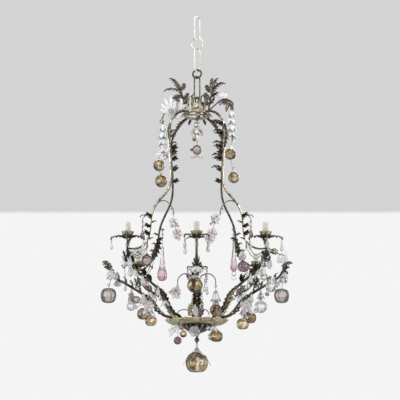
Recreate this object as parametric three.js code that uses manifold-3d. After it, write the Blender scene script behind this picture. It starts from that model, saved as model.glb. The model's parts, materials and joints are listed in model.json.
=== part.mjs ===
// A hanging cage chandelier of patinated brass with glass fruit, flowers and drops.
// Millimetres, +Z up. The origin is the seat of the ceiling hook, inside the top of the first chain link.
// +X is to the right and -Y to the front. Every height below is measured down from the hook seat.

import * as THREE from 'three';
import { mergeVertices } from 'three/addons/utils/BufferGeometryUtils.js';
import Module from 'manifold-3d';

const wasm = await Module();
wasm.setup();

// Clearances
const SEAT_GAP = 0.3; // between two pieces that rest against each other

// Chain
const LINK_WIRE = 3; // wire radius of the long links and the upper ring
const LINK_WIDTH = 36;
const UPPER_LINK_LENGTH = 118;
const MIDDLE_LINK_LENGTH = 120;
const LOWER_LINK_LENGTH = 110;
const UPPER_RING_RADIUS = 26; // to the middle of the wire
const LOWER_RING_RADIUS = 19;
const LOWER_RING_WIRE = 4;
const LINK_YAW = 38; // degrees, the links' planes
const RING_YAW = -14; // degrees, the rings' planes

// Crown
const CROWN_EYE_RADIUS = 12;
const CROWN_EYE_WIRE = 3;
const BUD_RADIUS = 12;
const HUB_RING_OUTER = 58;
const HUB_RING_INNER = 45;
const HUB_RING_HEIGHT = 10;
const SPOKE_THICKNESS = 5;
const SPRAY_HEIGHT = 172; // leaf tips above the hub ring
const SPRAY_STEM = 4;

// Cage stems, one towards each corner
const STEM_RADIUS = 5;
const CAGE_WAIST = 156; // radial distance of the stems at the narrow waist
const CAGE_BELLY = 259; // radial distance at the lower bend
const BACK_INSET = 18; // the two back stems are this much closer together above that bend
const SCROLL_WIRE = 2.2;
const SCROLL_ROOT = 0.713; // where a front stem's scroll springs, as a share of the cage's height
const SCROLL_REACH = 105; // inwards
const SCROLL_RISE = 38;
const HOOK_RISE = 10; // of the hooks on the stems' lower bends
const BEND_FRUIT_AT = 0.93; // where fruit hangs under a front stem, as a share of the cage's height
const BEND_FRUIT_HANG = 24;

// Arms
const ARM_REACH = 371; // radial distance of a candle arm's post
const FRONT_ARM_REACH = 350;
const PLAIN_ARM_REACH = 356; // of the two side arms, which carry leaves and fruit but no candle
const FRONT_ARM_DROP = 17; // the front and back candles stand this much lower
const BACK_ARM_DROP = 22; // and the two back corners' candles this much
const PLAIN_ARM_DROP = 49; // and the ends of the plain arms this much
const ARM_FOOT_RADIUS = 6.5;
const ARM_TIP_RADIUS = 4.5;
const PLAIN_TIP_RADIUS = 2;
const FOOT_CIRCLE = 84; // radial distance of the arms' feet on the dish
const POST_FOOT = 0.9; // where an arm's straight post or thin tip starts, as a share of its length

// Candle cups and lamp holders
const CUP_RIM_RADIUS = 23.5;
const CUP_HEIGHT = 31;
const CUP_RECESS = 4;
const CUP_LEAF_LENGTH = 56;
const HOLDER_RADIUS = 11;
const HOLDER_HEIGHT = 40;
const HOLDER_BORE = 7.5;
const HOLDER_BORE_DEPTH = 27;

// Dish, its ribbed boss and the finial
const DISH_RIM_RADIUS = 125;
const DISH_FLOOR_RADIUS = 96;
const DISH_SHEET = 3;
const DISH_LIP_HEIGHT = 18;
const DISH_SCALLOPS = 16;
const RIM_FRUIT_CIRCLE = 112; // radial distance of the fruit under the dish
const BOSS_RADIUS = 59;
const BOSS_HEIGHT = 40;
const BOSS_RIBS = 16;
const FINIAL_BALL = 10;
const FINIAL_LENGTH = 34;

// Levels below the hook seat
const HUB_LEVEL = -465; // middle of the hub ring
const DISH_LEVEL = -1362; // upper face of the dish's floor
const POST_TOP_LEVEL = -1070; // top of a candle arm's post
const STEM_JOINT_LEVEL = -1103; // where a cage stem meets its arm's post

// Hanging eyes and the rings hooked in them
const EYE_RADIUS = 4.5; // to the middle of the wire
const EYE_WIRE = 1.2;
const BEAD_WIRE = 1.1;
const WIRE_BITE = 1.5; // how far a wire runs into the glass
const ARM_HANG = 18; // from an arm's middle line down to a hinge
const TIP_HANG = 14; // from a plain arm's tip down to its hinge
const TIP_ASIDE = 32; // and forwards to it

// Facets
const TUBE_SIDES = 6; // of the chain's wires
const LIMB_SIDES = 5; // of the stems and arms
const WIRE_SIDES = 4;
const RING_STEPS = 6; // an even count, so that a ring's top and bottom are straight
const CHAIN_STEPS = 16;
const STEM_STEPS = 18;
const ARM_STEPS = 12;
const ROUND = 8; // of the balls of glass
const TRIM = 0.2; // slivers left by a join that stand out less than this are taken off

const UP = new THREE.Vector3(0, 0, 1);
const radians = THREE.MathUtils.degToRad;
const vec = (x, y, z) => new THREE.Vector3(x, y, z);

// A point at a radial distance and a level, in the direction of an azimuth in degrees, moved aside by side
function polar(azimuth, radial, level, side = 0) {
  const a = radians(azimuth);
  return vec(
    radial * Math.cos(a) - side * Math.sin(a),
    radial * Math.sin(a) + side * Math.cos(a),
    level,
  );
}

// The horizontal direction of an azimuth
const heading = (azimuth) => polar(azimuth, 1, 0);

// A closed solid from a geometry, with its faces pointing out
function solidOf(source) {
  let geometry = source.clone();
  for (const name of Object.keys(geometry.attributes)) {
    if (name !== 'position') geometry.deleteAttribute(name);
  }
  geometry = mergeVertices(geometry, 1e-4);
  const position = geometry.attributes.position;
  const index = geometry.index.array;
  const kept = [];
  let volume = 0;
  const a = new THREE.Vector3();
  const b = new THREE.Vector3();
  const c = new THREE.Vector3();
  for (let i = 0; i < index.length; i += 3) {
    const [p, q, r] = [index[i], index[i + 1], index[i + 2]];
    if (p === q || q === r || r === p) continue;
    kept.push(p, q, r);
    a.fromBufferAttribute(position, p);
    b.fromBufferAttribute(position, q);
    c.fromBufferAttribute(position, r);
    volume += a.dot(b.cross(c));
  }
  if (volume < 0) kept.reverse();
  return new wasm.Manifold(new wasm.Mesh({
    numProp: 3,
    vertProperties: new Float32Array(position.array),
    triVerts: new Uint32Array(kept),
  }));
}

const joined = (solids) => solids.reduce((whole, piece) => whole.add(piece));

// A surface through rings of points, closed at both ends, or drawn to a tip at the last
function loft(rings, tip = null) {
  const sides = rings[0].length;
  const positions = rings.flat().flatMap((point) => point.toArray());
  const index = [];
  for (let i = 0; i + 1 < rings.length; i += 1) {
    for (let j = 0; j < sides; j += 1) {
      const a = i * sides + j;
      const b = i * sides + ((j + 1) % sides);
      index.push(a, b, b + sides, a, b + sides, a + sides);
    }
  }
  const last = (rings.length - 1) * sides;
  for (let j = 1; j + 1 < sides; j += 1) {
    index.push(0, j + 1, j);
    if (!tip) index.push(last, last + j, last + j + 1);
  }
  if (tip) {
    positions.push(...tip.toArray());
    for (let j = 0; j < sides; j += 1) index.push(last + j, last + ((j + 1) % sides), last + sides);
  }
  return solidOf(indexed(positions, index));
}

function indexed(positions, index) {
  const geometry = new THREE.BufferGeometry();
  geometry.setAttribute('position', new THREE.Float32BufferAttribute(positions, 3));
  geometry.setIndex(index);
  return geometry;
}

// The points of a round section, flat to the direction it faces
function section(centre, tangent, across, radius, sides) {
  const side = across.clone().addScaledVector(tangent, -across.dot(tangent)).normalize();
  const third = tangent.clone().cross(side);
  const points = [];
  for (let j = 0; j < sides; j += 1) {
    const a = ((j + 0.5) / sides) * 2 * Math.PI;
    points.push(centre.clone()
      .addScaledVector(side, radius * Math.cos(a))
      .addScaledVector(third, radius * Math.sin(a)));
  }
  return points;
}

// A tube along a curve in one plane, to which across is square. Its rings are pairs of a share of the
// curve's length and a radius, and the faces of its ends can be set square to directions of their own.
function ringed(curve, rings, across, sides, { start, end } = {}) {
  const last = rings.length - 1;
  return loft(rings.map(([u, radius], i) => {
    const facing = (i === 0 && start) || (i === last && end) || curve.getTangentAt(u);
    return section(curve.getPointAt(u), facing, across, radius, sides);
  }));
}

// Rings at even steps from the curve's start to share end, whose radius runs from first to last
function evenRings(steps, first, last, end = 1) {
  return Array.from({ length: steps + 1 }, (_, i) => [end * i / steps, first + (last - first) * i / steps]);
}

function tube(curve, steps, across, first, last = first, sides = TUBE_SIDES, ends = {}) {
  return ringed(curve, evenRings(steps, first, last), across, sides, ends);
}

const smooth = (points) => new THREE.CatmullRomCurve3(points, false, 'centripetal');

// A straight wire between two points
function rod(from, to, radius, sides = WIRE_SIDES) {
  const across = Math.abs(to.z - from.z) > 0.7 * to.distanceTo(from) ? vec(1, 0, 0) : UP;
  return tube(new THREE.LineCurve3(from, to), 1, across, radius, radius, sides);
}

// A solid of revolution about a vertical axis from a profile of [radius, level] pairs
// Lobes swell and draw in the outline round the axis by a share of its radius.
function turned(profile, sides, lobes = 0, share = 0) {
  const points = profile.map(([radius, level]) => new THREE.Vector2(radius, level));
  const geometry = new THREE.LatheGeometry(points, sides);
  const position = geometry.attributes.position;
  for (let i = 0; i < position.count; i += 1) {
    const x = position.getX(i);
    const y = -position.getZ(i);
    const swell = lobes ? 1 + share * Math.cos(lobes * Math.atan2(y, x)) : 1;
    position.setXYZ(i, x * swell, y * swell, position.getY(i));
  }
  return solidOf(geometry);
}

const placed = (solid, point) => solid.translate([point.x, point.y, point.z]);

// A closed ring of round wire whose plane holds the vertical and the direction of yaw
function wireRing(centre, yaw, radius, wire, steps = RING_STEPS, sides = WIRE_SIDES) {
  const geometry = new THREE.TorusGeometry(radius, wire, sides, steps);
  geometry.rotateX(Math.PI / 2);
  geometry.rotateZ(radians(yaw));
  geometry.translate(centre.x, centre.y, centre.z);
  return solidOf(geometry);
}

// Leaves: the outline's shares of the width make the lobes
const LEAF_THICKNESS = 2.4;
const LEAF_OUTLINE = [0.4, 1, 0.6, 0.7];
const PLAIN_OUTLINE = [0.4, 1, 0.7];

// A leaf along a spine, with a ridge along its upper face
function leafAlong(spineAt, side, width, outline) {
  const rings = outline.map((share, i) => {
    const u = i / outline.length;
    const centre = spineAt(u);
    const tangent = spineAt(u + 0.01).sub(centre).normalize();
    const normal = side.clone().cross(tangent).normalize();
    const half = (share * width) / 2;
    return [
      centre.clone().addScaledVector(side, half),
      centre.clone().addScaledVector(normal, LEAF_THICKNESS),
      centre.clone().addScaledVector(side, -half),
    ];
  });
  return loft(rings, spineAt(1));
}

// A leaf that springs from a base and bends over towards its tip
function leaf({ base, out, lift, length, width, curl = 0.35, outline = LEAF_OUTLINE }) {
  const side = lift.clone().cross(out).normalize();
  const spineAt = (u) => base.clone()
    .addScaledVector(out, length * (u - 0.25 * curl * u * u * u))
    .addScaledVector(lift, length * curl * (u - 1.4 * u * u));
  return leafAlong(spineAt, side, width, outline);
}

// A leaf between two points, whose middle is drawn aside by bow and whose upper face looks towards face
function blade(base, tip, bow, face, width) {
  const middle = base.clone().lerp(tip, 0.5).addScaledVector(bow, 2);
  const spine = new THREE.QuadraticBezierCurve3(base, middle, tip);
  const side = face.clone().cross(tip.clone().sub(base)).normalize();
  return leafAlong((u) => spine.getPoint(Math.min(u, 1)), side, width, LEAF_OUTLINE);
}

// Chain: each piece hangs on the lower bend of the one above

// A long link whose top wire has its middle at topLevel
function longLink(topLevel, length) {
  const bend = LINK_WIDTH / 2 - LINK_WIRE;
  const straight = length - 2 * LINK_WIRE - 2 * bend;
  const points = [];
  const bendSteps = 6;
  for (let i = 0; i <= bendSteps; i += 1) {
    const a = (Math.PI * i) / bendSteps;
    points.push([bend * Math.cos(a), topLevel - bend + bend * Math.sin(a)]);
  }
  for (let i = 0; i <= bendSteps; i += 1) {
    const a = Math.PI + (Math.PI * i) / bendSteps;
    points.push([bend * Math.cos(a), topLevel - bend - straight + bend * Math.sin(a)]);
  }
  const across = heading(LINK_YAW + 90);
  const rings = points.map(([reach, level], i) => {
    const before = points[(i + points.length - 1) % points.length];
    const after = points[(i + 1) % points.length];
    const tangent = polar(LINK_YAW, after[0] - before[0], after[1] - before[1]).normalize();
    return section(polar(LINK_YAW, reach, level), tangent, across, LINK_WIRE, TUBE_SIDES);
  });
  const index = [];
  const total = rings.length;
  for (let i = 0; i < total; i += 1) {
    for (let j = 0; j < TUBE_SIDES; j += 1) {
      const next = ((i + 1) % total) * TUBE_SIDES;
      const turn = (j + 1) % TUBE_SIDES;
      index.push(i * TUBE_SIDES + j, i * TUBE_SIDES + turn, next + turn);
      index.push(i * TUBE_SIDES + j, next + turn, next + j);
    }
  }
  return solidOf(indexed(rings.flat().flatMap((point) => point.toArray()), index));
}

const hungOn = (lowerWireLevel, wireAbove, wireBelow) => lowerWireLevel + wireAbove + wireBelow + SEAT_GAP;
const linkBottom = (top, length) => top - (length - 2 * LINK_WIRE);

const upperLinkTop = LINK_WIRE;
const upperLinkBottom = linkBottom(upperLinkTop, UPPER_LINK_LENGTH);
const upperRingTop = hungOn(upperLinkBottom, LINK_WIRE, LINK_WIRE);
const upperRingBottom = upperRingTop - 2 * UPPER_RING_RADIUS;
const middleLinkTop = hungOn(upperRingBottom, LINK_WIRE, LINK_WIRE);
const middleLinkBottom = linkBottom(middleLinkTop, MIDDLE_LINK_LENGTH);
const lowerRingTop = hungOn(middleLinkBottom, LINK_WIRE, LOWER_RING_WIRE);
const lowerRingBottom = lowerRingTop - 2 * LOWER_RING_RADIUS;
const lowerLinkTop = hungOn(lowerRingBottom, LOWER_RING_WIRE, LINK_WIRE);
const lowerLinkBottom = linkBottom(lowerLinkTop, LOWER_LINK_LENGTH);
const crownEyeTop = hungOn(lowerLinkBottom, LINK_WIRE, CROWN_EYE_WIRE);
const crownEyeBottom = crownEyeTop - 2 * CROWN_EYE_RADIUS;

function chainRing(top, radius, wire) {
  return wireRing(vec(0, 0, top - radius), RING_YAW, radius, wire, CHAIN_STEPS, TUBE_SIDES);
}

// Cage stems: a profile from the hub ring to the arm's post. Each radial distance is a share of the way from
// one named radius to another, and each level a share of the cage's height below the hub ring.

const cageHeight = HUB_LEVEL - STEM_JOINT_LEVEL;
const cageLevel = (share) => HUB_LEVEL - share * cageHeight;
const between = (low, high) => (share) => low + (high - low) * share;

function stemCurve(corner) {
  const { azimuth, curve } = ARMS[corner];
  const post = pointAtLevel(curve, STEM_JOINT_LEVEL - STEM_RADIUS);
  const arch = between(HUB_RING_OUTER + SEAT_GAP, CAGE_WAIST);
  const flare = between(CAGE_WAIST, CAGE_BELLY - (corner.startsWith('back') ? BACK_INSET : 0));
  const foot = between(CAGE_BELLY, Math.hypot(post.x, post.y) - ARM_TIP_RADIUS - SEAT_GAP);
  const profile = [
    [arch(0), 0], [arch(0.25), 0.006], [arch(0.67), 0.046], [arch(1), 0.116], [arch(1.09), 0.186],
    [arch(1.06), 0.262], [arch(0.99), 0.334], [arch(0.95), 0.411],
    [flare(-0.06), 0.508], [flare(0.03), 0.556], [flare(0.21), 0.6], [flare(0.55), 0.659],
    [flare(0.81), 0.714], [flare(0.95), 0.774], [flare(0.98), 0.831],
    [foot(0.06), 0.909], [foot(0.26), 0.956], [foot(0.6), 0.989], [foot(1), 1],
  ];
  return smooth(profile.map(([radial, share]) => polar(azimuth, radial, cageLevel(share))));
}

// The point of a curve at a level, searched from its lower or its upper end
function pointAtLevel(curve, level) {
  const samples = 240;
  for (let i = samples; i > 0; i -= 1) {
    const here = curve.getPointAt(i / samples);
    const before = curve.getPointAt((i - 1) / samples);
    if ((here.z - level) * (before.z - level) <= 0) {
      return here.lerp(before, (level - here.z) / (before.z - here.z));
    }
  }
  throw new Error(`no point at level ${level}`);
}

// Arms: a profile from a foot on the dish to the post under the cup, or to the tip of a plain arm. Past the
// rim each radial distance is a share of the way to the arm's reach, and each level one of the arm's rise.

const FOOT_RISE = [[0, SEAT_GAP], [3, 14], [17, 27]]; // outwards from the foot, above the dish's floor
const CANDLE_ARM = [
  [0.012, 0.123], [0.11, 0.192], [0.236, 0.349], [0.427, 0.455], [0.634, 0.545], [0.756, 0.586],
  [0.874, 0.664],
];
const CANDLE_POST = [[0.963, 0.767], [0.996, 0.832], [1, 0.87], [1, 1]];
const PLAIN_ARM = [
  [0.013, 0.115], [0.14, 0.19], [0.28, 0.332], [0.494, 0.455], [0.647, 0.527], [0.796, 0.596],
  [0.906, 0.651], [0.974, 0.733],
];

function armCurve({ azimuth, reach, drop, candle }) {
  const way = between(DISH_RIM_RADIUS, reach);
  const rise = between(DISH_LEVEL, POST_TOP_LEVEL);
  const place = (lower) => ([out, up]) => polar(azimuth, way(out), rise(up) - lower);
  const foot = FOOT_RISE.map(([out, up]) => polar(azimuth, FOOT_CIRCLE + out, DISH_LEVEL + up));
  const limb = (candle ? CANDLE_ARM : PLAIN_ARM).map(place(0));
  const end = (candle ? CANDLE_POST : [[1, 1]]).map(place(drop));
  return smooth([...foot, ...limb, ...end]);
}

// The point of an arm's middle line at a radial distance
function pointAtReach(curve, radial) {
  const samples = 160;
  for (let i = 1; i <= samples; i += 1) {
    const near = curve.getPointAt((i - 1) / samples);
    const far = curve.getPointAt(i / samples);
    const [a, b] = [Math.hypot(near.x, near.y), Math.hypot(far.x, far.y)];
    if (a <= radial && b >= radial && b > a) return near.lerp(far, (radial - a) / (b - a));
  }
  throw new Error(`no point at reach ${radial}`);
}

const ARMS = {
  front_left: { azimuth: -135, reach: ARM_REACH, drop: 0, candle: true },
  front: { azimuth: -90, reach: FRONT_ARM_REACH, drop: FRONT_ARM_DROP, candle: true },
  front_right: { azimuth: -45, reach: ARM_REACH, drop: 0, candle: true },
  right: { azimuth: 0, reach: PLAIN_ARM_REACH, drop: PLAIN_ARM_DROP, candle: false },
  back_right: { azimuth: 45, reach: ARM_REACH, drop: BACK_ARM_DROP, candle: true },
  back: { azimuth: 90, reach: FRONT_ARM_REACH, drop: FRONT_ARM_DROP, candle: true },
  back_left: { azimuth: 135, reach: ARM_REACH, drop: BACK_ARM_DROP, candle: true },
  left: { azimuth: 180, reach: PLAIN_ARM_REACH, drop: PLAIN_ARM_DROP, candle: false },
};
const corners = Object.keys(ARMS).filter((name) => name.includes('_'));
const sideOf = (name) => (name.endsWith('left') ? 'left' : 'right');

for (const arm of Object.values(ARMS)) arm.curve = armCurve(arm);

// Hanging places: an eye of wire under its carrier, with the hinge at the eye's lowest wire

const hangers = {}; // the solids of the eyes that each carrier gets
const STRAIGHT = Math.cos(Math.PI / RING_STEPS); // a straight side's distance, as a share of the radius
const EYE_SPAN = 2 * EYE_RADIUS * STRAIGHT; // between the straight top and bottom

function eyeUnder(carrier, from, hinge, yaw) {
  const centre = hinge.clone().addScaledVector(UP, EYE_SPAN / 2);
  const top = hinge.clone().addScaledVector(UP, EYE_SPAN);
  const parts = [wireRing(centre, yaw, EYE_RADIUS, EYE_WIRE), rod(from, top, EYE_WIRE)];
  (hangers[carrier] ??= []).push(...parts);
}

// Glass shapes, each hung with its top at the origin

function ballProfile(radius, flat = 1, rows = 4) {
  const profile = [];
  for (let i = 0; i <= rows; i += 1) {
    const a = -Math.PI / 2 + (Math.PI * i) / rows;
    const r = i === 0 || i === rows ? 0 : radius * Math.cos(a);
    profile.push([r, radius * flat * (Math.sin(a) - 1)]);
  }
  return profile;
}

const GLASS = {
  ball: (size) => turned(ballProfile(size / 2), ROUND),
  apple: (size) => turned([
    [0, -0.94 * size], [0.26 * size, -0.98 * size], [0.46 * size, -0.72 * size],
    [0.5 * size, -0.36 * size], [0.3 * size, -0.02 * size], [0, -0.02 * size],
  ], 8, 4, 0.05),
  lobed: (size) => turned([
    [0, -0.9 * size], [0.3 * size, -0.87 * size], [0.5 * size, -0.55 * size],
    [0.47 * size, -0.26 * size], [0.22 * size, 0], [0, 0],
  ], 12, 6, 0.06),
  teardrop: (size) => turned([
    [0, -4.3 * size], [0.34 * size, -4.15 * size], [0.5 * size, -3.75 * size],
    [0.34 * size, -2.6 * size], [0.17 * size, -1.2 * size], [0.1 * size, 0], [0, 0],
  ], 8),
  drop: (size) => turned([
    [0, -2 * size], [0.46 * size, -1.65 * size], [0.42 * size, -1.2 * size], [0, 0],
  ], 6),
  flower: (size) => turned([
    [0, -0.34 * size], [0.5 * size, -0.16 * size], [0, 0],
  ], 10, 5, 0.16),
  bell: (size) => turned([
    [0, -1.0 * size], [0.48 * size, -1.02 * size], [0.3 * size, -0.3 * size], [0, 0],
  ], ROUND),
};
const GLASS_LENGTH = {
  ball: 1, apple: 0.94, lobed: 0.9, teardrop: 4.3, drop: 2, flower: 0.34, bell: 1,
};

// A string of glass on a ring. A bead is [form, size, drop below the hinge, offset along x, offset along y].
function glassString(hinge, yaw, beads) {
  const crossing = 2 * EYE_WIRE * STRAIGHT + SEAT_GAP;
  const ringCentre = hinge.clone().addScaledVector(UP, crossing - EYE_SPAN / 2);
  const ringFoot = hinge.clone().addScaledVector(UP, crossing - EYE_SPAN);
  const parts = [wireRing(ringCentre, yaw + 90, EYE_RADIUS, EYE_WIRE)];
  let from = ringFoot;
  for (const [form, size, drop, aside = 0, ahead = 0, branch = false] of beads) {
    const top = vec(hinge.x + aside, hinge.y + ahead, hinge.z - drop);
    const start = branch ? ringFoot : from;
    parts.push(rod(start, top.clone().addScaledVector(UP, -WIRE_BITE), BEAD_WIRE));
    parts.push(placed(GLASS[form](size), top));
    from = top.clone().addScaledVector(UP, -GLASS_LENGTH[form] * size + WIRE_BITE);
  }
  return joined(parts);
}

// Where each string hangs, and what is on it

const armPoint = (name, radial) => pointAtReach(ARMS[name].curve, radial);
const stemPoint = (corner, share) => pointAtLevel(stemCurve(corner), cageLevel(share));
const below = (point, drop) => point.clone().addScaledVector(UP, -drop);
const EYE_RISE = EYE_SPAN + 6;

const stringSpecs = [];

function hang(name, carrier, from, hinge, yaw, beads) {
  eyeUnder(carrier, from, hinge, yaw);
  stringSpecs.push({ name, hinge, yaw, beads });
}

// A string under an arm, or where side isn't 0 beside it, its hinge lower than the arm by fall
function hangOnArm(name, arm, radial, beads, side = 0, fall = ARM_HANG) {
  const from = armPoint(arm, radial);
  const { azimuth } = ARMS[arm];
  const hinge = below(from, fall).add(polar(azimuth, 0, 0, side));
  hang(name, `${arm}_arm`, from, hinge, azimuth, beads);
}

// A string in front of the tip of a plain arm
function hangAtTip(name, arm, beads) {
  const from = ARMS[arm].curve.getPointAt(1);
  const hinge = below(from, TIP_HANG).add(vec(0, -TIP_ASIDE, 0));
  hang(name, `${arm}_arm`, from, hinge, ARMS[arm].azimuth, beads);
}

// The inward scroll of a front stem, which rises from its root and falls to the end that carries a garland
function scrollCurve(corner) {
  const { azimuth } = ARMS[corner];
  const root = stemPoint(corner, SCROLL_ROOT);
  const radial = Math.hypot(root.x, root.y);
  const place = ([out, up]) => polar(azimuth, radial - out * SCROLL_REACH, root.z + up * SCROLL_RISE);
  return smooth([root, ...[[0.22, 0.68], [0.55, 1], [0.82, 0.74], [1, 0.2]].map(place)]);
}

// A hook on a stem's lower bend: outwards on the front stems, and forwards on the back ones
const stemHooks = {
  front_left: { at: 0.79, azimuth: -135, reach: 42, string: 'purple_drop_left', beads: [['drop', 20, 28]] },
  front_right: { at: 0.79, azimuth: -45, reach: 42, string: 'purple_drop_right', beads: [['drop', 18, 24]] },
  back_right: {
    at: 0.755, azimuth: -105, reach: 30, string: 'pink_teardrop_right', beads: [['teardrop', 31, 26]],
  },
  back_left: {
    at: 0.755, azimuth: -60, reach: 32, string: 'pink_teardrop_left', beads: [['teardrop', 35, 50]],
  },
};

for (const [corner, hook] of Object.entries(stemHooks)) {
  const root = stemPoint(corner, hook.at);
  const along = (share, rise) => root.clone().add(polar(hook.azimuth, share * hook.reach, rise));
  hook.points = [root, along(0.6, HOOK_RISE), along(1, -0.6 * HOOK_RISE)];
  const end = hook.points.at(-1);
  hang(hook.string, `${corner}_stem`, end, below(end, EYE_RISE), hook.azimuth, hook.beads);
}

// The garlands on the scrolls, and the fruit under the stems' lower bends
const frontStems = {
  front_left: {
    garland: [['flower', 38, 31], ['flower', 38, 78, 16]],
    fruitName: 'smoky_ball_left',
    fruit: [['apple', 40, 34]],
  },
  front_right: {
    garland: [['flower', 38, 15, -20], ['flower', 38, 75, -33]],
    fruitName: 'purple_fruit_right',
    fruit: [['ball', 30, 23, -16, 12], ['lobed', 44, 57, -12, 10]],
  },
};

for (const [corner, { garland, fruitName, fruit }] of Object.entries(frontStems)) {
  const { azimuth } = ARMS[corner];
  const end = scrollCurve(corner).getPointAt(1);
  const name = `pink_flower_garland_${sideOf(corner)}`;
  hang(name, `${corner}_stem`, end, below(end, EYE_RISE), azimuth, garland);
  const bend = stemPoint(corner, BEND_FRUIT_AT);
  hang(fruitName, `${corner}_stem`, bend, below(bend, BEND_FRUIT_HANG), azimuth, fruit);
}

const sprayBase = (HUB_RING_INNER + HUB_RING_OUTER) / 2;
const sprayFoot = HUB_LEVEL + HUB_RING_HEIGHT / 2 + SEAT_GAP;

// A leaf of the fan is [foot, tip, bow, width]. Places are [distance outwards from the spray's foot, rise as
// a share of the spray's height, distance to the front].
const SPRAYS = {
  left: {
    azimuth: 180,
    spine: [[0, 0.13], [9, 0.38], [18, 0.65]],
    fan: [
      [[17, 0.66], [68, 0.96, 12], [6, 0.06], 30], [[15, 0.63], [6, 0.82, -8], [-3, 0.01], 22],
      [[18, 0.6], [90, 0.63, -10], [0, 0.05], 20], [[12, 0.42], [46, 0.42, 12], [0, 0.04], 22],
      [[8, 0.36], [-14, 0.54, 10], [-3, 0.02], 18],
    ],
    branch: [[22, 0.07], [60, 0.105], [90, 0.012], [96, -0.116]],
    string: [
      ['flower', 52, 128, 1], ['ball', 50, 170, -14], ['ball', 53, 238, -4],
    ],
  },
  right: {
    azimuth: 0,
    spine: [[0, 0.13], [6, 0.38], [16, 0.69]],
    fan: [
      [[14, 0.67], [14, 1, 6], [-3, 0], 20], [[15, 0.68], [40, 0.98, 10], [-3, 0.02], 20],
      [[15, 0.63], [71, 0.83, 4], [-2, 0.06], 28], [[10, 0.56], [-14, 0.76, 8], [-3, 0.02], 24],
      [[5, 0.36], [-22, 0.54, 12], [-3, 0.02], 22], [[7, 0.43], [40, 0.63, -10], [2, 0.02], 24],
    ],
    branch: [[26, 0.233], [60, 0.395], [88, 0.372], [96, 0.233]],
    string: [
      ['flower', 40, 120, 6], ['lobed', 48, 183, -6], ['ball', 48, 285, 8],
    ],
  },
};

// A place of a spray
function sprayPoint({ azimuth }, [out, rise, ahead = 0]) {
  return polar(azimuth, sprayBase + out, HUB_LEVEL + rise * SPRAY_HEIGHT).add(vec(0, -ahead, 0));
}

for (const [side, spray] of Object.entries(SPRAYS)) {
  spray.end = sprayPoint(spray, spray.branch.at(-1));
  hang(`crown_string_${side}`, `crown_spray_${side}`, spray.end, below(spray.end, EYE_RISE),
    spray.azimuth, spray.string);
}

hang('crown_centre_string', 'crown_hub', vec(0, 0, HUB_LEVEL), vec(0, 0, HUB_LEVEL - 22), 90, [
  ['ball', 26, 10], ['flower', 40, 44], ['ball', 42, 116],
]);

hangAtTip('smoky_apple_left', 'left', [['flower', 34, 22, 12], ['apple', 60, 89]]);
hangAtTip('smoky_apple_right', 'right', [['ball', 26, 40, -8], ['apple', 58, 91, -15]]);
const plainRadial = between(DISH_RIM_RADIUS, PLAIN_ARM_REACH);
hangOnArm('clear_ball_left', 'left', plainRadial(0.61), [['flower', 36, 14], ['ball', 38, 40]]);
hangOnArm('clear_ball_right', 'right', plainRadial(0.58), [['flower', 30, 12], ['ball', 52, 31]]);
hangOnArm('clear_faceted_ball_right', 'right', plainRadial(0.74), [['ball', 44, 12]], -60, -10);
hangOnArm('amber_pair_left', 'left', plainRadial(0.33), [
  ['lobed', 50, 25, -15, 4], ['lobed', 46, 55, 16, -4, true],
]);
hangOnArm('amber_pair_right', 'right', plainRadial(0.33), [
  ['lobed', 50, 40, 13, 4], ['lobed', 48, 67, -17, -4, true],
]);
for (const [name, aside] of [['front', -6], ['back', 0]]) {
  hangOnArm(`amber_ball_${name}`, name, ARMS[name].reach - 50, [['ball', 58, 14, aside]]);
}

// Two side scrolls spring from the front arm and carry a bell with an amber ball, and a pink flower
const sideScrollRoot = armPoint('front', FRONT_ARM_REACH - 118);

function sideScroll(sign) {
  const at = (aside, rise) => sideScrollRoot.clone().add(vec(sign * aside, 0, rise));
  return smooth([at(0, 0), at(26, 24), at(52, 26), at(70, 8), at(72, -10)]);
}

for (const sign of [-1, 1]) {
  const end = sideScroll(sign).getPointAt(1);
  const beads = sign > 0
    ? [['bell', 40, 12], ['ball', 46, 64]]
    : [['flower', 38, 12, -6]];
  const name = sign > 0 ? 'bell_string_front' : 'pink_flower_front';
  hang(name, 'front_arm', end, below(end, EYE_RISE), 0, beads);
}

// Fruit under the dish, at the rim
const rimUnderside = DISH_LEVEL + 7; // inside the lip's sheet
for (const [side, azimuth, beads] of [
  ['left', -129, [['ball', 28, 24, 18, 0, true], ['ball', 31, 48, -4, 0, true]]],
  ['right', -51, [['ball', 28, 34, -14, 0, true], ['lobed', 48, 25, 6, 0, true]]],
]) {
  const from = polar(azimuth, RIM_FRUIT_CIRCLE, rimUnderside);
  hang(`rim_fruit_${side}`, 'dish', from, below(from, EYE_RISE + 2), azimuth + 90, beads);
}

// The finial hangs under the boss, and the largest fruit under the finial
const bossTop = DISH_LEVEL - DISH_SHEET - SEAT_GAP;
const bossBottom = bossTop - BOSS_HEIGHT;
const finialTop = bossBottom - SEAT_GAP;
const finialBottom = finialTop - FINIAL_LENGTH;
hang('bottom_fruit', 'finial', vec(0, 0, finialBottom + 4), vec(0, 0, finialBottom - EYE_RISE + 4), 0, [
  ['flower', 66, 10], ['lobed', 86, 25],
]);

// Sub-parts

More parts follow.
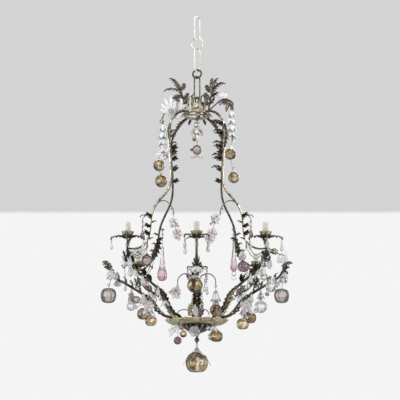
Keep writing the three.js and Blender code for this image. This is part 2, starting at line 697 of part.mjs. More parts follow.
function buildHub() {
  const half = HUB_RING_HEIGHT / 2;
  const bevel = 2.5;
  const ring = turned([
    [HUB_RING_INNER, -half], [HUB_RING_OUTER - bevel, -half], [HUB_RING_OUTER, -half + bevel],
    [HUB_RING_OUTER, half - bevel], [HUB_RING_OUTER - bevel, half], [HUB_RING_INNER, half],
    [HUB_RING_INNER, -half],
  ], 24);
  const budTop = crownEyeBottom + 2;
  const budFoot = HUB_LEVEL - half;
  const height = budTop - budFoot;
  const bud = turned([
    [0, 0], [0.8 * BUD_RADIUS, 0], [0.8 * BUD_RADIUS, 0.16 * height], [0.45 * BUD_RADIUS, 0.26 * height],
    [BUD_RADIUS, 0.55 * height], [0.7 * BUD_RADIUS, 0.8 * height], [0.35 * BUD_RADIUS, height], [0, height],
  ], 10, 5, 0.08);
  const parts = [placed(ring, vec(0, 0, HUB_LEVEL)), placed(bud, vec(0, 0, budFoot))];
  const eyeCentre = vec(0, 0, crownEyeTop - CROWN_EYE_RADIUS);
  parts.push(wireRing(eyeCentre, LINK_YAW + 90, CROWN_EYE_RADIUS, CROWN_EYE_WIRE, 12, TUBE_SIDES));
  for (const azimuth of [0, 90, 180, 270]) {
    const inner = polar(azimuth, 2, HUB_LEVEL);
    const outer = polar(azimuth, HUB_RING_INNER + 3, HUB_LEVEL);
    parts.push(tube(new THREE.LineCurve3(inner, outer), 1, UP, SPOKE_THICKNESS / 2, SPOKE_THICKNESS / 2, 4));
  }
  for (const [azimuth, length] of [[-128, 76], [-100, 84], [52, 76], [80, 84]]) {
    const base = polar(azimuth, sprayBase, HUB_LEVEL + half - 1.5);
    parts.push(leaf({
      base, out: UP, lift: heading(azimuth).negate(), length, width: 15, curl: -0.28,
    }));
  }
  return parts;
}

function buildSpray(spray) {
  const { azimuth } = spray;
  const place = (entry) => sprayPoint(spray, entry);
  const foot = polar(azimuth, sprayBase, sprayFoot);
  const across = heading(azimuth + 90);
  const away = heading(azimuth);
  const spine = smooth([foot, ...spray.spine.map(place)]);
  const parts = [tube(spine, 5, across, SPRAY_STEM, 1.8)];
  const face = away.clone().multiplyScalar(-0.35).add(vec(0, -0.8, 0.5)).normalize();
  for (const [base, tip, [out, up], width] of spray.fan) {
    const bow = away.clone().multiplyScalar(out).addScaledVector(UP, up * SPRAY_HEIGHT);
    parts.push(blade(place(base), place(tip), bow, face, width));
  }
  const branchCurve = smooth([spine.getPointAt(0.12), ...spray.branch.map(place)]);
  parts.push(tube(branchCurve, 7, across, 3, 1.8, WIRE_SIDES));
  parts.push(leaf({
    base: branchCurve.getPointAt(0.72), out: away.clone().addScaledVector(UP, 0.25).normalize(),
    lift: UP, length: 40, width: 20, curl: 0.3, outline: PLAIN_OUTLINE,
  }));
  return parts;
}

function buildStem(corner) {
  const { azimuth } = ARMS[corner];
  const curve = stemCurve(corner);
  const across = heading(azimuth + 90);
  const inward = heading(azimuth).negate();
  const parts = [tube(curve, STEM_STEPS, across, STEM_RADIUS, STEM_RADIUS, LIMB_SIDES, {
    start: heading(azimuth), end: heading(azimuth),
  })];
  [0.188, 0.27, 0.351, 0.433].forEach((share, i) => {
    const base = stemPoint(corner, share);
    const twist = (i % 2 ? 1 : -1) * 0.5;
    const out = inward.clone().addScaledVector(UP, 1.1).addScaledVector(across, twist).normalize();
    const lift = across.clone().cross(out).normalize();
    parts.push(leaf({ base, out, lift, length: 44, width: 20, curl: -0.3 }));
  });
  const crest = curve.getPointAt(0.1);
  const fall = inward.clone().multiplyScalar(-0.6).addScaledVector(UP, -0.55).normalize();
  parts.push(leaf({
    base: crest, out: fall, lift: across.clone().cross(fall).normalize(), length: 62, width: 26, curl: 0.18,
  }));
  if (frontStems[corner]) parts.push(tube(scrollCurve(corner), 7, across, SCROLL_WIRE, 1.6, WIRE_SIDES));
  parts.push(tube(smooth(stemHooks[corner].points), 3, across, SCROLL_WIRE, 1.8, WIRE_SIDES));
  for (const [share, sign] of [[0.784, 1], [0.928, -1]]) {
    const base = stemPoint(corner, share);
    const out = inward.clone().multiplyScalar(-sign).addScaledVector(UP, 0.8).normalize();
    const lift = across.clone().cross(out).normalize().multiplyScalar(sign);
    parts.push(leaf({ base, out, lift, length: 34, width: 20, curl: 0.4, outline: PLAIN_OUTLINE }));
  }
  return parts;
}

// A candle arm tapers to the foot of its straight post, and a plain arm thins from there towards its tip

function armRings(candle) {
  const rings = evenRings(ARM_STEPS, ARM_FOOT_RADIUS, ARM_TIP_RADIUS, POST_FOOT);
  const tip = candle ? [] : [[0.95, 0.5 * (ARM_TIP_RADIUS + PLAIN_TIP_RADIUS)]];
  return [...rings, ...tip, [1, candle ? ARM_TIP_RADIUS : PLAIN_TIP_RADIUS]];
}

function buildArm(name, { azimuth, reach, curve, candle }) {
  const across = heading(azimuth + 90);
  const away = heading(azimuth);
  const parts = [ringed(curve, armRings(candle), across, LIMB_SIDES, {
    start: UP, end: candle ? UP : undefined,
  })];
  const places = [[DISH_RIM_RADIUS + 24, 1], [DISH_RIM_RADIUS + 84, -1], [reach - 60, 1]];
  for (const [radial, sign] of places) {
    const base = pointAtReach(curve, radial);
    const out = away.clone().multiplyScalar(0.75).addScaledVector(UP, 0.9)
      .addScaledVector(across, 0.45 * sign).normalize();
    const lift = across.clone().cross(out).normalize();
    parts.push(leaf({ base, out, lift, length: 42, width: 22, curl: 0.3, outline: PLAIN_OUTLINE }));
  }
  if (name === 'front') {
    const front = vec(0, 1, 0);
    for (const sign of [-1, 1]) parts.push(tube(sideScroll(sign), 7, front, SCROLL_WIRE, 1.6, WIRE_SIDES));
  }
  if (!candle) {
    const tip = curve.getPointAt(0.97);
    for (const turn of [-38, 0, 38]) {
      const out = heading(azimuth + turn).addScaledVector(UP, 0.25).normalize();
      const side = UP.clone().cross(out).normalize();
      const lift = out.clone().cross(side).normalize();
      parts.push(leaf({ base: tip, out, lift, length: 34, width: 20, curl: 0.45 }));
    }
  }
  return parts;
}

const cupBase = (arm) => polar(arm.azimuth, arm.reach, POST_TOP_LEVEL - arm.drop + SEAT_GAP);

function buildCup(arm) {
  const base = cupBase(arm);
  const floor = CUP_HEIGHT - CUP_RECESS;
  const body = turned([
    [0, 0], [7, 0], [5, 0.24 * CUP_HEIGHT], [13, 0.38 * CUP_HEIGHT],
    [0.9 * CUP_RIM_RADIUS, 0.7 * CUP_HEIGHT], [CUP_RIM_RADIUS, CUP_HEIGHT],
    [CUP_RIM_RADIUS - 2, CUP_HEIGHT], [HOLDER_RADIUS + 2, floor], [0, floor],
  ], 10);
  const parts = [placed(body, base)];
  for (const turn of [45, 135, 225, 315]) {
    const out = heading(arm.azimuth + turn).addScaledVector(UP, -0.12).normalize();
    const side = UP.clone().cross(out).normalize();
    const lift = out.clone().cross(side).normalize();
    const root = base.clone().addScaledVector(UP, 0.24 * CUP_HEIGHT);
    parts.push(leaf({ base: root, out, lift, length: CUP_LEAF_LENGTH, width: 19, curl: 0.34 }));
  }
  return parts;
}

function buildHolder(arm) {
  const base = cupBase(arm).addScaledVector(UP, CUP_HEIGHT - CUP_RECESS + SEAT_GAP);
  const bottom = HOLDER_HEIGHT - HOLDER_BORE_DEPTH;
  return [placed(turned([
    [0, 0], [HOLDER_RADIUS, 0], [HOLDER_RADIUS, HOLDER_HEIGHT], [HOLDER_BORE, HOLDER_HEIGHT],
    [HOLDER_BORE, bottom], [0, bottom],
  ], 10), base)];
}

// The dish's lip rises and falls with its scallops, which also swell its outline
function buildDish() {
  const scallop = 0.025;
  const steps = 2 * DISH_SCALLOPS;
  const knee = DISH_FLOOR_RADIUS;
  const rim = DISH_RIM_RADIUS;
  return [placed(turned([
    [0, -DISH_SHEET], [knee, -DISH_SHEET], [rim, DISH_LIP_HEIGHT - DISH_SHEET - 2],
    [rim, DISH_LIP_HEIGHT - 2], [knee - 2, 0], [0, 0],
  ], steps, DISH_SCALLOPS, scallop), vec(0, 0, DISH_LEVEL))];
}

function buildBoss() {
  const height = BOSS_HEIGHT;
  return [placed(turned([
    [0, -height], [0.13 * BOSS_RADIUS, -height], [0.36 * BOSS_RADIUS, -0.78 * height],
    [0.72 * BOSS_RADIUS, -0.5 * height], [0.96 * BOSS_RADIUS, -0.2 * height], [BOSS_RADIUS, 0], [0, 0],
  ], 2 * BOSS_RIBS, BOSS_RIBS, 0.045), vec(0, 0, bossTop))];
}

function buildFinial() {
  const length = FINIAL_LENGTH;
  return [placed(turned([
    [0, -length], [3, -length], [3, -0.86 * length], [FINIAL_BALL, -0.62 * length],
    [FINIAL_BALL, -0.48 * length], [4, -0.26 * length], [7.5, -0.18 * length], [7.5, 0], [0, 0],
  ], 8), vec(0, 0, finialTop))];
}

// Colours, roughness and metalness
const FINISH = {
  pale_brass: { color: 0xcfc09a, roughness: 0.42, metalness: 0.9 },
  dark_bronze: { color: 0x4a4033, roughness: 0.5, metalness: 0.85 },
  bronze: { color: 0x6b5c42, roughness: 0.45, metalness: 0.85 },
  olive_brass: { color: 0x968c6e, roughness: 0.45, metalness: 0.85 },
  candle_white: { color: 0xe4e0d6, roughness: 0.5, metalness: 0 },
  clear_glass: { color: 0xeef2f2, roughness: 0.08, metalness: 0 },
  amber_glass: { color: 0xb98a3a, roughness: 0.08, metalness: 0 },
  pink_glass: { color: 0xe6b0b8, roughness: 0.1, metalness: 0 },
  purple_glass: { color: 0x7a3a66, roughness: 0.1, metalness: 0 },
  smoky_glass: { color: 0xb09c98, roughness: 0.08, metalness: 0 },
};

const STRING_FINISH = [
  ['amber', 'amber_glass'], ['purple', 'purple_glass'], ['pink', 'pink_glass'], ['smoky', 'smoky_glass'],
  ['rim_fruit', 'amber_glass'], ['bottom_fruit', 'amber_glass'], ['crown_string', 'amber_glass'],
];

const chandelier = new THREE.Group();

// Adds a sub-part as a mesh placed at its own reference point
function addPart(name, parts, finish, reference = vec(0, 0, 0)) {
  const solids = [...parts, ...(hangers[name] ?? [])];
  const mesh = joined(solids).asOriginal().simplify(TRIM).getMesh();
  const positions = [];
  for (let i = 0; i < mesh.vertProperties.length; i += mesh.numProp) {
    positions.push(
      mesh.vertProperties[i] - reference.x,
      mesh.vertProperties[i + 1] - reference.y,
      mesh.vertProperties[i + 2] - reference.z,
    );
  }
  const geometry = indexed(positions, Array.from(mesh.triVerts));
  geometry.computeVertexNormals();
  const part = new THREE.Mesh(geometry, new THREE.MeshStandardMaterial(FINISH[finish]));
  part.name = name;
  part.position.copy(reference);
  chandelier.add(part);
}

addPart('ceiling_link', [longLink(upperLinkTop, UPPER_LINK_LENGTH)], 'pale_brass');
addPart('upper_ring', [chainRing(upperRingTop, UPPER_RING_RADIUS, LINK_WIRE)], 'pale_brass');
addPart('middle_link', [longLink(middleLinkTop, MIDDLE_LINK_LENGTH)], 'pale_brass');
addPart('lower_ring', [chainRing(lowerRingTop, LOWER_RING_RADIUS, LOWER_RING_WIRE)], 'dark_bronze');
addPart('lower_link', [longLink(lowerLinkTop, LOWER_LINK_LENGTH)], 'dark_bronze');
addPart('crown_hub', buildHub(), 'bronze');
for (const [side, spray] of Object.entries(SPRAYS)) {
  const foot = polar(spray.azimuth, sprayBase, sprayFoot);
  addPart(`crown_spray_${side}`, buildSpray(spray), 'dark_bronze', foot);
}
for (const corner of corners) addPart(`${corner}_stem`, buildStem(corner), 'bronze');
for (const [name, arm] of Object.entries(ARMS)) {
  addPart(`${name}_arm`, buildArm(name, arm), 'bronze');
  if (!arm.candle) continue;
  addPart(`${name}_cup`, buildCup(arm), 'olive_brass', cupBase(arm));
  addPart(`${name}_lamp_holder`, buildHolder(arm), 'candle_white', cupBase(arm));
}
addPart('dish', buildDish(), 'olive_brass');
addPart('dish_boss', buildBoss(), 'dark_bronze');
addPart('finial', buildFinial(), 'dark_bronze');
for (const { name, hinge, yaw, beads } of stringSpecs) {
  const [, finish] = STRING_FINISH.find(([word]) => name.includes(word)) ?? [null, 'clear_glass'];
  addPart(name, [glassString(hinge, yaw, beads)], finish, hinge);
}

export default chandelier;
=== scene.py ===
# The looks of a hanging cage chandelier of patinated brass with glass fruit, flowers and drops.
# Lengths are in millimetres below the hook seat, as in the part's source, and MM turns them into metres.

import json
import math

import bpy
import numpy as np
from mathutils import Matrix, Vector

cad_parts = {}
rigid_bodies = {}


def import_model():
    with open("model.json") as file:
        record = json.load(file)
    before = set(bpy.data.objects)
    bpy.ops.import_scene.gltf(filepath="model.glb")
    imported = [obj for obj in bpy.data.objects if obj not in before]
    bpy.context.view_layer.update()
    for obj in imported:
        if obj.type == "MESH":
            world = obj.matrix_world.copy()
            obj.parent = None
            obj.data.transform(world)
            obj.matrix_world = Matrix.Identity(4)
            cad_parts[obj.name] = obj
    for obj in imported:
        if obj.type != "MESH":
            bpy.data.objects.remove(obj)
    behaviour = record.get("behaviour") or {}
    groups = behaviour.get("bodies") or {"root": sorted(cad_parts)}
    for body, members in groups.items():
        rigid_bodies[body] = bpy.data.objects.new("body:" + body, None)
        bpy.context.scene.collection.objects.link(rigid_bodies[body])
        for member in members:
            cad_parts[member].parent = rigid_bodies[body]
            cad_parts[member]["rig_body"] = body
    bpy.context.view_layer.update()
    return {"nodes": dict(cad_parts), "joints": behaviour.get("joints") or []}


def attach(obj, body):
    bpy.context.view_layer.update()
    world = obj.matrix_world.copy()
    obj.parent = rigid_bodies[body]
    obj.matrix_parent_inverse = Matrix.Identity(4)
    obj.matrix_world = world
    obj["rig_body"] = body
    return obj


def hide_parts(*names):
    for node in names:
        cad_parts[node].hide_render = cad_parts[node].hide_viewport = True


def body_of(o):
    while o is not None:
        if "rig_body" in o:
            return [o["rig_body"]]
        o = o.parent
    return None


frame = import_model()

MM = 0.001
SEAT_GAP = 0.3

# Chain
LINK_WIRE = 3
LINK_WIDTH = 36
UPPER_LINK_LENGTH = 118
MIDDLE_LINK_LENGTH = 120
LOWER_LINK_LENGTH = 110
UPPER_RING_RADIUS = 26
LOWER_RING_RADIUS = 19
LOWER_RING_WIRE = 4
LINK_YAW = 38
RING_YAW = -14

# Crown and cage
CROWN_EYE_RADIUS = 12
CROWN_EYE_WIRE = 3
BUD_RADIUS = 12
HUB_RING_OUTER = 58
HUB_RING_INNER = 45
HUB_RING_HEIGHT = 10
SPRAY_HEIGHT = 172
STEM_RADIUS = 5
CAGE_WAIST = 156
CAGE_BELLY = 259
BACK_INSET = 18
SCROLL_ROOT = 0.713
SCROLL_REACH = 105
SCROLL_RISE = 38
HOOK_RISE = 10
BEND_FRUIT_AT = 0.93

# Arms, cups and holders
ARM_REACH = 371
FRONT_ARM_REACH = 350
PLAIN_ARM_REACH = 356
FRONT_ARM_DROP = 17
BACK_ARM_DROP = 22
PLAIN_ARM_DROP = 49
ARM_FOOT_RADIUS = 6.5
ARM_TIP_RADIUS = 4.5
PLAIN_TIP_RADIUS = 2
POST_FOOT = 0.9
FOOT_CIRCLE = 84
RIM_FRUIT_CIRCLE = 112
CUP_RIM_RADIUS = 23.5
CUP_HEIGHT = 31
CUP_RECESS = 4
HOLDER_RADIUS = 11
HOLDER_HEIGHT = 40
HOLDER_BORE = 7.5
HOLDER_BORE_DEPTH = 27

# Dish, boss and finial
DISH_RIM_RADIUS = 125
DISH_FLOOR_RADIUS = 96
DISH_SHEET = 3
DISH_LIP_HEIGHT = 18
DISH_SCALLOPS = 16
BOSS_RADIUS = 59
BOSS_HEIGHT = 40
BOSS_RIBS = 16
FINIAL_BALL = 10
FINIAL_LENGTH = 34

# Levels
HUB_LEVEL = -465
DISH_LEVEL = -1362
POST_TOP_LEVEL = -1070
STEM_JOINT_LEVEL = -1103

# Hanging eyes
EYE_SPAN = 7.794
EYE_WIRE = 1.04
BEAD_WIRE = 1.0
FINE_WIRE = 0.7


def vec(x, y, z):
    return np.array((x, y, z), dtype=float)


UP = vec(0, 0, 1)
BACK = vec(0, 1, 0)


def unit(v):
    v = np.asarray(v, dtype=float)
    return v / np.linalg.norm(v, axis=-1, keepdims=True)


def polar(azimuth, radial, level):
    """A point at a radial distance and a level, in the direction of an azimuth in degrees."""
    a = math.radians(azimuth)
    return vec(radial * math.cos(a), radial * math.sin(a), level)


def heading(azimuth):
    return polar(azimuth, 1, 0)


def around(count, spin=0.0):
    """The headings of things spaced evenly round the vertical."""
    return [heading(360 * k / count + spin) for k in range(count)]


def turns(count):
    """Angles in even steps round a full turn."""
    return np.arange(count) / count * 2 * math.pi


def square_to(direction):
    """Two directions square to a direction and to each other."""
    direction = unit(direction)
    first = np.cross(UP, direction) if abs(direction[2]) < 0.95 else np.cross(vec(1, 0, 0), direction)
    first = unit(first)
    return first, np.cross(direction, first)


# Curves


def span(p0, p1, p2, p3, t):
    """The points between p1 and p2 of a centripetal curve, at the shares t."""
    d0 = max(np.linalg.norm(p1 - p0) ** 0.5, 1e-4)
    d1 = max(np.linalg.norm(p2 - p1) ** 0.5, 1e-4)
    d2 = max(np.linalg.norm(p3 - p2) ** 0.5, 1e-4)
    t1 = ((p1 - p0) / d0 - (p2 - p0) / (d0 + d1) + (p2 - p1) / d1) * d1
    t2 = ((p2 - p1) / d1 - (p3 - p1) / (d1 + d2) + (p3 - p2) / d2) * d1
    t = t[:, None]
    return p1 + t1 * t + (-3 * p1 + 3 * p2 - 2 * t1 - t2) * t**2 + (2 * p1 - 2 * p2 + t1 + t2) * t**3


class Curve:
    """A smooth curve through points, measured along its length from 0 to 1."""

    def __init__(self, points, steps=24):
        points = [np.asarray(p, dtype=float) for p in points]
        ghosts = [2 * points[0] - points[1], *points, 2 * points[-1] - points[-2]]
        shares = np.arange(steps) / steps
        spans = [span(*ghosts[i : i + 4], shares) for i in range(len(points) - 1)]
        self.points = np.concatenate([*spans, points[-1][None, :]])
        steps_along = np.linalg.norm(np.diff(self.points, axis=0), axis=1)
        self.reach = np.concatenate([[0], np.cumsum(steps_along)])
        self.length = self.reach[-1]

    def at(self, u):
        along = np.asarray(u, dtype=float) * self.length
        return np.stack([np.interp(along, self.reach, self.points[:, k]) for k in range(3)], axis=-1)

    def path(self, first=0.0, last=1.0, count=40):
        return self.at(np.linspace(first, last, count))

    def tangent(self, u):
        return unit(self.at(min(u + 0.004, 1)) - self.at(max(u - 0.004, 0)))

    def share_at(self, value, measure, last=False):
        """Where a measure of the points passes a value, as a share of the length."""
        gaps = measure(self.points) - value
        crossings = np.nonzero(gaps[:-1] * gaps[1:] <= 0)[0]
        i = crossings[-1 if last else 0]
        part = gaps[i] / (gaps[i] - gaps[i + 1]) if gaps[i] != gaps[i + 1] else 0
        return (self.reach[i] + part * (self.reach[i + 1] - self.reach[i])) / self.length

    def share_at_level(self, level):
        return self.share_at(level, lambda p: p[:, 2], last=True)

    def share_at_reach(self, radial):
        return self.share_at(radial, lambda p: np.hypot(p[:, 0], p[:, 1]))


def bowed(base, tip, bow, count=25):
    """The middle line of a leaf from base to tip, drawn aside by bow at its middle."""
    base, tip, bow = (np.asarray(p, dtype=float) for p in (base, tip, bow))
    u = np.linspace(0, 1, count)[:, None]
    return (1 - u) ** 2 * base + 2 * u * (1 - u) * ((base + tip) / 2 + 2 * bow) + u**2 * tip


def resampled(path, count):
    steps = np.linalg.norm(np.diff(path, axis=0), axis=1)
    reach = np.concatenate([[0], np.cumsum(steps)])
    along = np.linspace(0, reach[-1], count)
    return np.stack([np.interp(along, reach, path[:, k]) for k in range(3)], axis=-1)


# Surfaces


class Form:
    """A closed surface: its points, quads and triangles, and a tone from 0 to 1 at each point."""

    def __init__(self, points, quads, tris, tone, smooth=True):
        self.points = points
        self.quads = quads
        self.tris = tris
        self.tone = tone
        self.smooth = smooth
        if self.volume() < 0:
            self.turn_over()

    def volume(self):
        corners = [self.quads[:, [0, 1, 2]], self.quads[:, [0, 2, 3]], self.tris]
        faces = self.points[np.concatenate(corners)]
        return np.einsum("ij,ij->i", faces[:, 0], np.cross(faces[:, 1], faces[:, 2])).sum()

    def turn_over(self):
        self.quads = self.quads[:, ::-1]
        self.tris = self.tris[:, ::-1]
        return self

    def placed(self, origin, axis=UP):
        """The form with its own +Z along axis and its origin at a point."""
        first, second = square_to(axis)
        if abs(unit(axis)[2]) > 0.9999:
            first, second = vec(1, 0, 0), vec(0, math.copysign(1, axis[2]), 0)
        turn = np.stack([first, second, unit(axis)], axis=1)
        return Form(self.points @ turn.T + origin, self.quads, self.tris, self.tone, self.smooth)


def swept(rings, loop=False, tone=0.3, smooth=True):
    """A closed surface through rings of points: capped at both ends, or run back into itself."""
    rings = np.asarray(rings, dtype=float)
    rows, columns = rings.shape[:2]
    points = rings.reshape(-1, 3)
    tone = np.broadcast_to(tone, (rows, columns)).reshape(-1)
    i = np.arange(rows if loop else rows - 1)[:, None]
    j = np.arange(columns)[None, :]
    next_row, next_column = ((i + 1) % rows) * columns, (j + 1) % columns
    corners = [i * columns + j, i * columns + next_column, next_row + next_column, next_row + j]
    quads = np.stack(np.broadcast_arrays(*corners), axis=-1).reshape(-1, 4)
    tris = np.zeros((0, 3), dtype=int)
    if not loop:
        count = len(points)
        j = np.arange(columns)
        k = (j + 1) % columns
        last = (rows - 1) * columns
        points = np.concatenate([points, rings[0].mean(0)[None], rings[-1].mean(0)[None]])
        tone = np.concatenate([tone, tone[:1], tone[-1:]])
        start = np.stack([np.full(columns, count), k, j], axis=1)
        end = np.stack([np.full(columns, count + 1), last + j, last + k], axis=1)
        tris = np.concatenate([start, end])
    return Form(points, quads, tris, tone, smooth)


def tube(path, radius, across=None, sides=12, loop=False, flutes=0.0, round_ends=False, tone=0.18):
    """A round bar along a path. Flutes cut four shallow channels along it."""
    path = np.asarray(path, dtype=float)
    radius = np.broadcast_to(radius, len(path)).astype(float)
    if loop:
        along = unit(np.roll(path, -1, axis=0) - np.roll(path, 1, axis=0))
    else:
        along = unit(np.gradient(path, axis=0))
        path, along, radius = closed_ends(path, along, radius, round_ends)
    if across is None:
        across = square_to(path[-1] - path[0])[0]
    side = unit(across - (along @ across)[:, None] * along)
    third = np.cross(along, side)
    a = turns(sides)
    reach = radius[:, None] * (1 + flutes * np.cos(4 * a)[None, :])
    rings = path[:, None, :] + reach[..., None] * (
        np.cos(a)[None, :, None] * side[:, None, :] + np.sin(a)[None, :, None] * third[:, None, :]
    )
    return swept(rings, loop, tone)


def tapered(curve, thick, thin, across, sides=10, count=40, flutes=0.0, round_ends=True):
    """A round bar along a curve that grows thinner towards its end."""
    return tube(curve.path(count=count), np.linspace(thick, thin, count), across, sides, flutes=flutes,
                round_ends=round_ends)


def lit_side(sides, low=0.08, high=1.1):
    """The tone round a bar, high on its outer or upper side: a painted highlight where light falls on the
    bar.
    """
    a = turns(sides)
    return (low + (high - low) * np.clip(np.sin(a), 0, 1) ** 2)[None, :]


def closed_ends(path, along, radius, round_ends):
    """Adds the rows that bevel or round a bar's two ends."""
    shares = [(0.97, 0.3), (0.8, 0.62), (0.45, 0.9)] if round_ends else [(0.86, 0.0)]
    starts = [(path[0] - along[0] * radius[0] * rise, radius[0] * share) for share, rise in reversed(shares)]
    ends = [(path[-1] + along[-1] * radius[-1] * rise, radius[-1] * share) for share, rise in shares]
    middle = np.array(path)
    if not round_ends:
        middle[0] += along[0] * radius[0] * 0.16
        middle[-1] -= along[-1] * radius[-1] * 0.16
    path = np.concatenate([[p for p, r in starts], middle, [p for p, r in ends]])
    radius = np.concatenate([[r for p, r in starts], radius, [r for p, r in ends]])
    along = np.concatenate([[along[0]] * len(starts), along, [along[-1]] * len(ends)])
    return path, along, radius


def wire(start, end, radius=BEAD_WIRE):
    return tube(np.linspace(start, end, 3), radius, sides=8)


def lathe(profile, steps=32, swell=None, loop=False, smooth=True, tone=0.3):
    """A turned form from [radius, level] pairs. swell(angle, share) scales the radius round the axis."""
    profile = np.asarray(profile, dtype=float)
    rows = len(profile)
    if not loop:
        profile = profile.copy()
        profile[0, 0] = max(profile[0, 0], 0.02)
        profile[-1, 0] = max(profile[-1, 0], 0.02)
    a = turns(steps)
    share = np.linspace(0, 1, rows)[:, None]
    scale = swell(a[None, :], share) if swell else np.ones((rows, steps))
    radius = profile[:, :1] * scale
    level = np.broadcast_to(profile[:, 1:], radius.shape)
    rings = np.stack([radius * np.cos(a), radius * np.sin(a), level], axis=-1)
    if np.ndim(tone) == 1:
        tone = np.asarray(tone)[:, None]
    return swept(rings, loop, tone, smooth)


def eased(profile, count=28):
    """A profile of [radius, level] pairs rounded into a smooth line."""
    line = Curve([vec(r, 0, z) for r, z in profile]).path(count=count)
    return np.stack([np.maximum(line[:, 0], 0.02), line[:, 2]], axis=1)


def ball(centre, radius, flat=1.0, steps=20, rows=11, tone=0.3, smooth=True):
    a = np.linspace(-math.pi / 2, math.pi / 2, rows)
    profile = np.stack([radius * np.cos(a), radius * flat * np.sin(a)], axis=1)
    return lathe(profile, steps, tone=tone, smooth=smooth).placed(centre)


def torus(centre, axis, radius, thickness, steps=28, sides=10):
    first, second = square_to(axis)
    a = turns(steps)
    path = centre + radius * (np.cos(a)[:, None] * first + np.sin(a)[:, None] * second)
    return tube(path, thickness, unit(axis), sides, loop=True)


def leaf(path, face, width, lobes=4, tooth=0.5, arc=0.8, rib=1.3, thick=1.7, frill=0.06, waist=0.28,
         curl=0.1):
    """A lobed leaf along a path, base first. face is the way its upper side looks, arc rolls its edges, and
    curl rolls its tip back."""
    rows = 8 * lobes + 1
    path = resampled(np.asarray(path, dtype=float), rows)
    u = np.linspace(0, 1, rows)
    v = np.linspace(-1, 1, 9)
    face = np.asarray(face, dtype=float)
    length = np.linalg.norm(np.diff(path, axis=0), axis=1).sum()
    path = path - unit(face) * (curl * length * np.clip((u - 0.6) / 0.4, 0, 1) ** 2)[:, None]
    along = unit(np.gradient(path, axis=0))
    normal = unit(face - (along @ face)[:, None] * along)
    side = np.cross(along, normal)
    body = np.sin(math.pi * u**0.72) ** 0.7
    phase = np.where(u < 1, (u * lobes) % 1, 1)
    teeth = 1 - tooth * (1 - phase**1.4)
    half = 0.5 * width * np.maximum(np.nan_to_num(body) * teeth, np.maximum(waist * (1 - 2 * u), 0.03))
    turn = (half[:, None] * v[None, :]) / (abs(arc) * width)
    lateral = abs(arc) * width * np.sin(turn)
    fall = np.sign(arc) * abs(arc) * width * (1 - np.cos(turn))
    ridge = np.exp(-((v / 0.17) ** 2))
    swell = np.sin(math.pi * phase)[:, None] * (np.abs(v) * (1 - np.abs(v)))[None, :] * 0.16 * width * tooth
    ripple = frill * width * np.sin(2 * math.pi * u * lobes)[:, None] * (np.abs(v) ** 3)[None, :]
    rise = rib * ridge[None, :] * (1 - 0.6 * u)[:, None] + swell + ripple - fall
    forward = 0.4 * half[:, None] * (np.abs(v) ** 1.5)[None, :]
    top = (
        path[:, None, :]
        + side[:, None, :] * lateral[..., None]
        + normal[:, None, :] * rise[..., None]
        + along[:, None, :] * forward[..., None]
    )
    depth = thick * (1 - 0.6 * v**2)
    bottom = top - normal[:, None, :] * depth[None, :, None]
    rings = np.concatenate([top, bottom[:, ::-1]], axis=1)
    upper = 0.14 + 0.6 * ridge + 0.55 * np.abs(v) ** 5
    tone = np.concatenate([upper, np.full(9, 0.08)])
    return swept(rings, tone=np.clip(tone, 0, 1)[None, :])


def petal(path, face, width, thick=2.4, arc=0.7, depth=(0.9, 0.1), curl=0.1):
    """A plain glass petal, deeper in colour at its base and along its two sides: the glass's own colour in
    tinted glass, and painted shade where the deep colour is grey.
    """
    form = leaf(path, face, width, 2, 0, arc, 0.5, thick, 0, 0.3, curl)
    rows = 17
    fade = depth[1] + (depth[0] - depth[1]) * (1 - np.linspace(0, 1, rows)) ** 3
    sides = 0.75 * np.abs(np.tile(np.linspace(-1, 1, 9), 2)) ** 4
    tone = np.clip(fade[:, None] + sides[None, :], 0, 1).reshape(-1)
    form.tone = np.concatenate([tone, tone[:1], tone[-1:]])
    return form


def flower(centre, axis, size, petals=5, cup=0.3, spin=0.0, depth=(0.9, 0.05)):
    """Glass petals round an axis."""
    axis = unit(axis)
    first, second = square_to(axis)
    forms = []
    for k in range(petals):
        a = 2 * math.pi * (k + spin) / petals
        out = first * math.cos(a) + second * math.sin(a)
        base = centre + out * 0.06 * size
        tip = centre + out * 0.52 * size + axis * cup * 0.5 * size
        forms.append(petal(bowed(base, tip, -axis * 0.07 * size), axis, 0.52 * size, depth=depth))
    return forms


def gem(top, length, width, sides=8, tone=0.4):
    """A cut drop that hangs from its top."""
    shares = [(0, -1), (0.55, -0.93), (0.92, -0.8), (1, -0.68), (0.8, -0.42), (0.42, -0.16), (0.2, 0), (0, 0)]
    profile = [(0.5 * width * r, length * z) for r, z in shares]
    return lathe(profile, sides, smooth=False, tone=tone).placed(top)


# Glass forms that hang with their top at the origin, by size

APPLE = [(0, -0.9), (0.14, -0.975), (0.27, -0.965), (0.41, -0.85), (0.49, -0.62), (0.5, -0.38), (0.44, -0.16),
         (0.3, -0.025), (0.16, -0.03), (0, -0.08)]
LOBED = [(0, -0.84), (0.16, -0.9), (0.34, -0.85), (0.47, -0.66), (0.5, -0.44), (0.44, -0.2), (0.26, -0.02),
         (0.12, 0.01), (0, -0.02)]
TEARDROP = [(0, -4.3), (0.2, -4.26), (0.42, -4.08), (0.5, -3.75), (0.45, -3.3), (0.34, -2.6), (0.24, -1.8),
            (0.17, -1.2), (0.12, -0.5), (0.1, -0.05), (0, 0)]
FULL_TEARDROP = [(0, -4.3), (0.26, -4.27), (0.5, -4.1), (0.61, -3.7), (0.55, -3.2), (0.38, -2.6),
                 (0.28, -1.8), (0.22, -1.2), (0.17, -0.5), (0.12, -0.05), (0, 0)]
DROP = [(0, -2), (0.25, -1.95), (0.45, -1.68), (0.44, -1.3), (0.3, -0.85), (0.15, -0.4), (0.07, -0.03),
        (0, 0)]
BELL = [(0, 0), (0.12, -0.03), (0.2, -0.2), (0.29, -0.5), (0.38, -0.82), (0.5, -1.02), (0.46, -1.03),
        (0.34, -0.84), (0.25, -0.52), (0.15, -0.24), (0, -0.16)]


